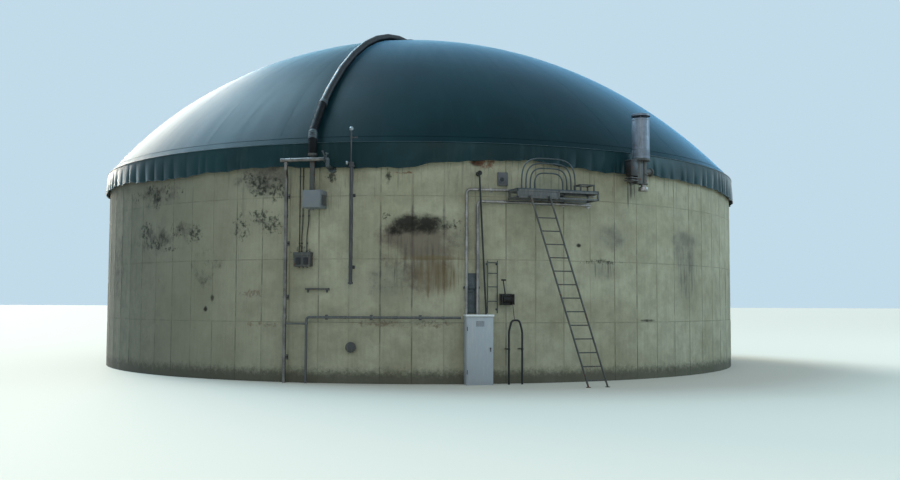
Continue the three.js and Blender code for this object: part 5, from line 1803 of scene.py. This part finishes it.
@dataclass
class MixerGear:
    """The mixer's guide pole, sight glass, winch and rope hoop, and the low wall port."""

    pole_bearing: float = 7.6
    pole_head: float = 4.96
    glass_bearing: float = 11.0
    glass_across: float = -0.03
    glass_up: float = 4.83
    winch_bearing: float = 11.45
    drum_up: float = 1.985
    drum_out: float = 0.19
    rope_radius: float = 0.008
    rope_turns: int = 10
    rope_steps: int = 12
    hoop_bearing: float = 12.4
    hoop_out: float = 0.25
    hoop_top: float = 1.495
    port_bearing: float = -9.5
    port_up: float = 0.85

    def build(self) -> None:
        """Builds the mixer's fittings."""
        Solid(self.pole).piece("mixer_guide_pole", HOSE_RUBBER, ["guide_pole"])
        seat = wall_seat(self.glass_bearing)
        Solid(self.glass_frame, seat).piece("sight_frame", SIGHT_FRAME, ["sight_glass"])
        Solid(self.pane, seat).piece("sight_pane", PANE)
        seat = wall_seat(self.winch_bearing)
        Solid(self.winch, seat).piece("winch_frame", GREASY_STEEL, ["mixer_winch"])
        rope, line = self.rope()
        rope.piece("winch_rope", GREASY_STEEL)
        seat = wall_seat(self.hoop_bearing)
        Solid(self.hoop, seat).piece("rope_guard_hoop", HOSE_RUBBER, ["rope_hoop"])
        seat = wall_seat(self.port_bearing)
        Solid(self.port, seat).piece("blanked_port", DARK_STEEL, ["wall_port"])

    def pole(self, solid: Solid) -> None:
        """The leaning guide pole, its knob and its wall gland."""
        head = self.pole_bearing
        foot, top = around(8.5, 10.195, 1.632), around(head, 10.168, 4.92)
        solid.rod(foot, top, 0.021, 16)
        knob, rim, shoulder, inner = (
            around(head, ring, self.pole_head) for ring in (10.205, 10.195, 10.02, APOTHEM + 0.008)
        )
        solid.rod(knob, inner, 0.05, 24, 0.006)
        solid.rod(rim, knob, 0.058, 24)
        solid.rod(shoulder, inner, 0.058, 24)

    def glass_frame(self, solid: Solid) -> None:
        """The sight glass's plate, ring and bolts."""
        x, height = self.glass_across, self.glass_up
        solid.block((-0.125, 0.125), (FIT, 0.06), (4.69, 5.01), 0.01)
        ring = [
            (0.0, 0.0), (0.0, 0.078), (0.03, 0.078), (0.035, 0.073), (0.035, 0.054), (0.026, 0.052),
            (0.026, 0.0),
        ]
        solid.turn(ring, (x, 0.06, height), (x, 0.095, height), 32)
        solid.bolt_ring((x, 0.094, height), OUTWARD, 0.065, 6, 0.006)
        solid.bolts((-0.1, 0.1), 0.06, (4.72, 4.98), 0.009)

    def pane(self, solid: Solid) -> None:
        """The sight glass's pane in its ring."""
        solid.pins(self.glass_across, self.glass_up, (0.09, 0.096, 0.052, 32))

    def winch(self, solid: Solid) -> None:
        """The winch: base, cheeks, drum with flanges, hub and cranks."""
        up, out = self.drum_up, self.drum_out
        solid.block((-0.15, 0.15), (FIT, 0.04), (1.85, 2.12), 0.006)
        solid.block((-0.15, -0.128), (0.03, 0.29), (1.86, 2.1), 0.006)
        solid.block((0.128, 0.15), (0.03, 0.29), (1.86, 2.11), 0.006)
        solid.bars(
            out, up, (-0.15, 0.15, 0.03, 20), (-0.11, 0.11, 0.075, 28),
            (-0.112, -0.1, 0.125, 32, 0.003), (0.1, 0.112, 0.125, 32, 0.003), (-0.175, -0.152, 0.026, 16),
        )
        solid.rod((-0.17, out, up), (-0.17, 0.235, 2.1), 0.016, 14)
        solid.rod((-0.06, out, up), (-0.06, 0.225, 2.09), 0.017, 14)
        solid.rod((-0.06, 0.225, 2.08), (-0.12, 0.25, 2.44), 0.015, 14)
        solid.rod((-0.165, 0.25, 2.44), (-0.055, 0.25, 2.44), 0.022, 16, 0.004)
        solid.bolts((-0.1298, 0.1298), 0.04, (1.88, 2.09), 0.01)

    def rope(self) -> tuple[Solid, list[Vector]]:
        """The rope: close turns on the drum, then down to the hoop.

        Returns:
            The rope, and the line along its middle.
        """
        solid = Solid(seat=wall_seat(self.winch_bearing))
        steps, reach, wound = 24, 0.076 + self.rope_radius, 0.093
        route = []
        for i in range(self.rope_turns * steps + 1):
            angle = -2 * math.pi * i / steps
            x = -wound + 2 * wound * i / (self.rope_turns * steps)
            out, up = self.drum_out + reach * math.cos(angle), self.drum_up + reach * math.sin(angle)
            route.append((x, out, up))
        hoop = Solid(seat=wall_seat(self.hoop_bearing))
        held = hoop.world((-0.03, self.hoop_out, self.hoop_top + 0.032))
        across, back, up = solid.seat.inverted() @ held
        end, last = Vector((across, -back, up)), Vector(route[-1])
        route += [last.lerp(end, i / self.rope_steps) for i in range(1, self.rope_steps + 1)]
        solid.sweep(route, self.rope_radius, 8)
        return solid, [solid.world(p) for p in route]

    def hoop(self, solid: Solid) -> None:
        """The hoop stand with its two wall clamps."""
        out, spread, shoulder, high = self.hoop_out, 0.165, 0.095, self.hoop_top
        corners = [
            (-spread, out, 0.0), (-spread, out, 1.24), (-shoulder, out, high), (shoulder, out, high),
            (spread, out, 1.24), (spread, out, 0.0),
        ]
        solid.sweep(rounded(corners, 0.07, 6), 0.025, 16)
        for x in (-spread, spread):
            solid.block((x - 0.02, x + 0.02), (FIT, out), (0.81, 0.835), 0.003)
            solid.posts(x, out, (0.8, 0.845, 0.03, 16))

    def port(self, solid: Solid) -> None:
        """The blanked port low on the wall."""
        up = self.port_up
        solid.pins(
            0, up, (FIT, 0.07, 0.092, 32), (0.06, 0.076, 0.125, 32, 0.003),
            (0.079, 0.095, 0.125, 32, 0.003), (0.07, 0.085, 0.105, 32),
        )
        solid.bolt_ring((0, 0.094, up), OUTWARD, 0.105, 8, 0.01)


@dataclass
class ReliefDevice:
    """The over- and under-pressure relief device beside the platform."""

    bearing: float = 31.6
    out: float = 0.425
    column: float = 0.075
    base: float = 5.5
    top: float = 6.515
    radius: float = 0.222
    inlet_up: float = 5.04
    outlet_up: float = 5.19
    band_slots: int = 28

    def build(self) -> None:
        """Builds the body, vessel, cap and trap."""
        seat = wall_seat(self.bearing)
        Solid(self.body, seat).piece("relief_valve_body", DARK_STEEL, ["relief_body"])
        Solid(self.box, seat).piece("relief_side_box", GREASY_STEEL)
        Solid(self.vessel, seat).piece("relief_tall_vessel", SKY_TINTED_STEEL, ["relief_vessel"])
        Solid(self.cap, seat).piece("relief_rain_cap", SKY_TINTED_STEEL, ["relief_cap"])
        Solid(self.trap, seat).piece("relief_water_trap", STAINLESS, ["relief_trap"])

    def body(self, solid: Solid) -> None:
        """The flanged column, chamber and outlets."""
        x, out = self.column, self.out
        solid.posts(0, out, (5.45, self.base - FIT, 0.228, 40, 0.004))
        solid.bolt_ring((0, out, 5.45), (0, 0, -1), 0.2, 12, 0.011)
        solid.posts(
            x, out, (4.86, 5.46, 0.088, 32), (5.1, 5.125, 0.12, 32, 0.003), (4.86, 4.89, 0.115, 32, 0.003)
        )
        solid.bolt_ring((x, out, 5.125), UPWARD, 0.104, 8, 0.009)
        inlet, outlet = self.inlet_up, self.outlet_up
        solid.pins(x, inlet, (out, FIT, 0.08, 28), (0.028, FIT, 0.14, 32, 0.003))
        solid.bolt_ring((x, 0.028, inlet), OUTWARD, 0.118, 8, 0.01)
        solid.block((-0.205, -0.02), (out - 0.095, out + 0.095), (4.87, 5.48), 0.008)
        solid.block((-0.02, x), (out - 0.06, out + 0.06), (4.9, 5.23), 0.004)
        for up in (4.925, 4.985):
            solid.block((-0.44, -0.205), (out - 0.13, out + 0.13), (up, up + 0.03), 0.004)
        for place in product((-0.4, -0.24), (out - 0.1, out + 0.1), (5.015,)):
            solid.bolt(place, UPWARD, 0.011)
        solid.posts(-0.33, out, (4.94, 5.06, 0.06, 24))
        solid.bars(
            out, outlet, (x, 0.33, 0.08, 28), (0.3, 0.32, 0.105, 28, 0.003),
            (0.324, 0.345, 0.105, 28, 0.003),
        )
        solid.bolt_ring((0.345, out, outlet), ACROSS, 0.088, 8, 0.009)

    def box(self, solid: Solid) -> None:
        """The dark side box over the flange pair, with its lid."""
        out = self.out
        solid.block((-0.43, -0.205), (out - 0.11, out + 0.11), (5.05, 5.455), 0.012)
        solid.block((-0.436, -0.2), (out - 0.116, out + 0.116), (5.41, 5.455), 0.006)

    def vessel(self, solid: Solid) -> None:
        """The tall rolled vessel: its bands, the slots of its foot band and its neck."""
        out = self.out
        solid.posts(
            0, out, (self.base + FIT, self.top, self.radius - 0.003, 48, 0.005),
            (self.top - 0.01, self.top + 0.06, 0.04, 20),
        )
        for up in (self.base + 0.02, self.base + 0.24, self.top - 0.05):
            solid.posts(0, out, (up, up + 0.025, self.radius, 48, 0.003))
        kept, slot = solid.seat, (self.base + 0.07, self.base + 0.21)
        for i in range(self.band_slots):
            around_axis = Matrix.Rotation(2 * math.pi * i / self.band_slots, 4, "Z")
            solid.seat = kept @ Matrix.Translation((0, -out, 0)) @ around_axis
            solid.block((-0.008, 0.008), (self.radius - 0.006, self.radius + 0.001), slot, 0.002)
        solid.seat = kept

    def cap(self, solid: Solid) -> None:
        """The rain cap over the vessel."""
        low = self.top + 0.0603
        profile = [(0.0, 0.0), (0.0, 0.238), (0.045, 0.238), (0.05, 0.232), (0.08, 0.06), (0.08, 0.0)]
        solid.turn(profile, (0, self.out, low), (0, self.out, low + 0.08), 48)

    def trap(self, solid: Solid) -> None:
        """The liquid trap under the column, on a short neck."""
        solid.posts(self.column, self.out, (4.79, 4.86 - FIT, 0.062, 28), (4.7, 4.8, 0.12, 36, 0.012))


@dataclass
class Studio:
    """Camera, floor and soft lights."""

    lens: float = 38.81
    camera_back: float = 32.81
    camera_up: float = 1.911
    yaw: float = 1.649
    pitch: float = 3.489
    roll: float = 0.233
    shift: float = 3.2 / 900
    aim: Vector = field(default_factory=lambda: Vector((0, 0, 5)))

    def build(self) -> None:
        """Sets the camera, the floor, the lights and the background."""
        self.camera()
        self.floor()
        self.light("SUN", "low_key", (-0.46, 0.86, 0.27), 30.0, 3.2, "#ffefd6")
        self.light("SUN", "low_haze", (-0.501, 0.555, 0.66), 26.0, 1.4, "#c9ebff")
        self.light("SUN", "high_haze", (-0.431, 0.356, 0.829), 26.0, 1.65, "#bce7ff")
        self.light("AREA", "right_sky", (50.0, -8.0, 20.0), 16.0, 6200.0, "#bce7ff")
        self.light("AREA", "front_fill", (4.0, -46.0, 26.0), 22.0, 1900.0, "#ffeedd")
        world = bpy.data.worlds.new("studio")
        world.use_nodes = True
        fill(world.node_tree.nodes["Background"], {"Color": linear("#d4efff"), "Strength": 0.82})
        bpy.context.scene.world = world
        bpy.context.scene.view_settings.view_transform = "Standard"

    def camera(self) -> None:
        """Puts the camera at the photograph's place and angle."""
        data = bpy.data.cameras.new("camera")
        data.lens = self.lens
        data.sensor_width = 36.0
        data.shift_y = self.shift
        data.clip_start = 0.1
        data.clip_end = 1000.0
        stand = Matrix.Translation((0, -self.camera_back, self.camera_up))
        turn = Matrix.Rotation(math.radians(-self.yaw), 4, "Z")
        tilt = Matrix.Rotation(math.radians(90 + self.pitch), 4, "X")
        spin = Matrix.Rotation(math.radians(self.roll), 4, "Z")
        bpy.context.scene.camera = placed("camera", data, stand @ turn @ tilt @ spin)

    def floor(self) -> None:
        """Lays a plain pale floor."""
        mesh = bpy.data.meshes.new("floor")
        bm = bmesh.new()
        bmesh.ops.create_grid(bm, x_segments=1, y_segments=1, size=400.0)
        bm.to_mesh(mesh)
        bm.free()
        material = bpy.data.materials.new("pale_floor")
        material.use_nodes = True
        shader = material.node_tree.nodes["Principled BSDF"]
        fill(shader, {"Base Color": linear("#c4bcae"), "Roughness": 0.9})
        mesh.materials.append(material)
        placed("floor", mesh)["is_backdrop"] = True

    def light(self, kind: str, name: str, place: Point, size: float, power: float, colour: str) -> None:
        """Adds a soft light.

        Args:
            kind: SUN for a far light, or AREA for a square one that faces the tank.
            name: Its name.
            place: Where it stands, for a far light only as a direction.
            size: Its edge, or its width as an angle in degrees.
            power: Its power in watts, or its strength.
            colour: Its colour.
        """
        data = bpy.data.lights.new(name, kind)
        data.energy = power
        data.color = linear(colour)[:3]
        stand, way = Vector(place), self.aim - Vector(place)
        if kind == "SUN":
            data.angle = math.radians(size)
            stand, way = Vector(), -stand
        else:
            data.shape = "SQUARE"
            data.size = size
        placed(name, data, Matrix.Translation(stand) @ way.to_track_quat("-Z", "Y").to_matrix().to_4x4())


def write_sizes() -> None:
    """Puts the box of the parts and the box of the dressed model side by side; they are not kept."""
    boxes = {"cad": CAD_BOX, "visual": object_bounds()}
    boxes = {name: [list(corner) for corner in box] for name, box in boxes.items()}


def main() -> None:
    """Builds the digester and its studio in order."""
    logging.basicConfig(level=logging.INFO, format="%(message)s")
    makers = (Studio, Tank, GasRoof, AirLine, WallPipes, Electrics, Platform, MixerGear, ReliefDevice)
    for maker in (kind() for kind in makers):
        maker.build()
        log.info("%s is built", type(maker).__name__)
    write_sizes()


if __name__ == "__main__":
    main()
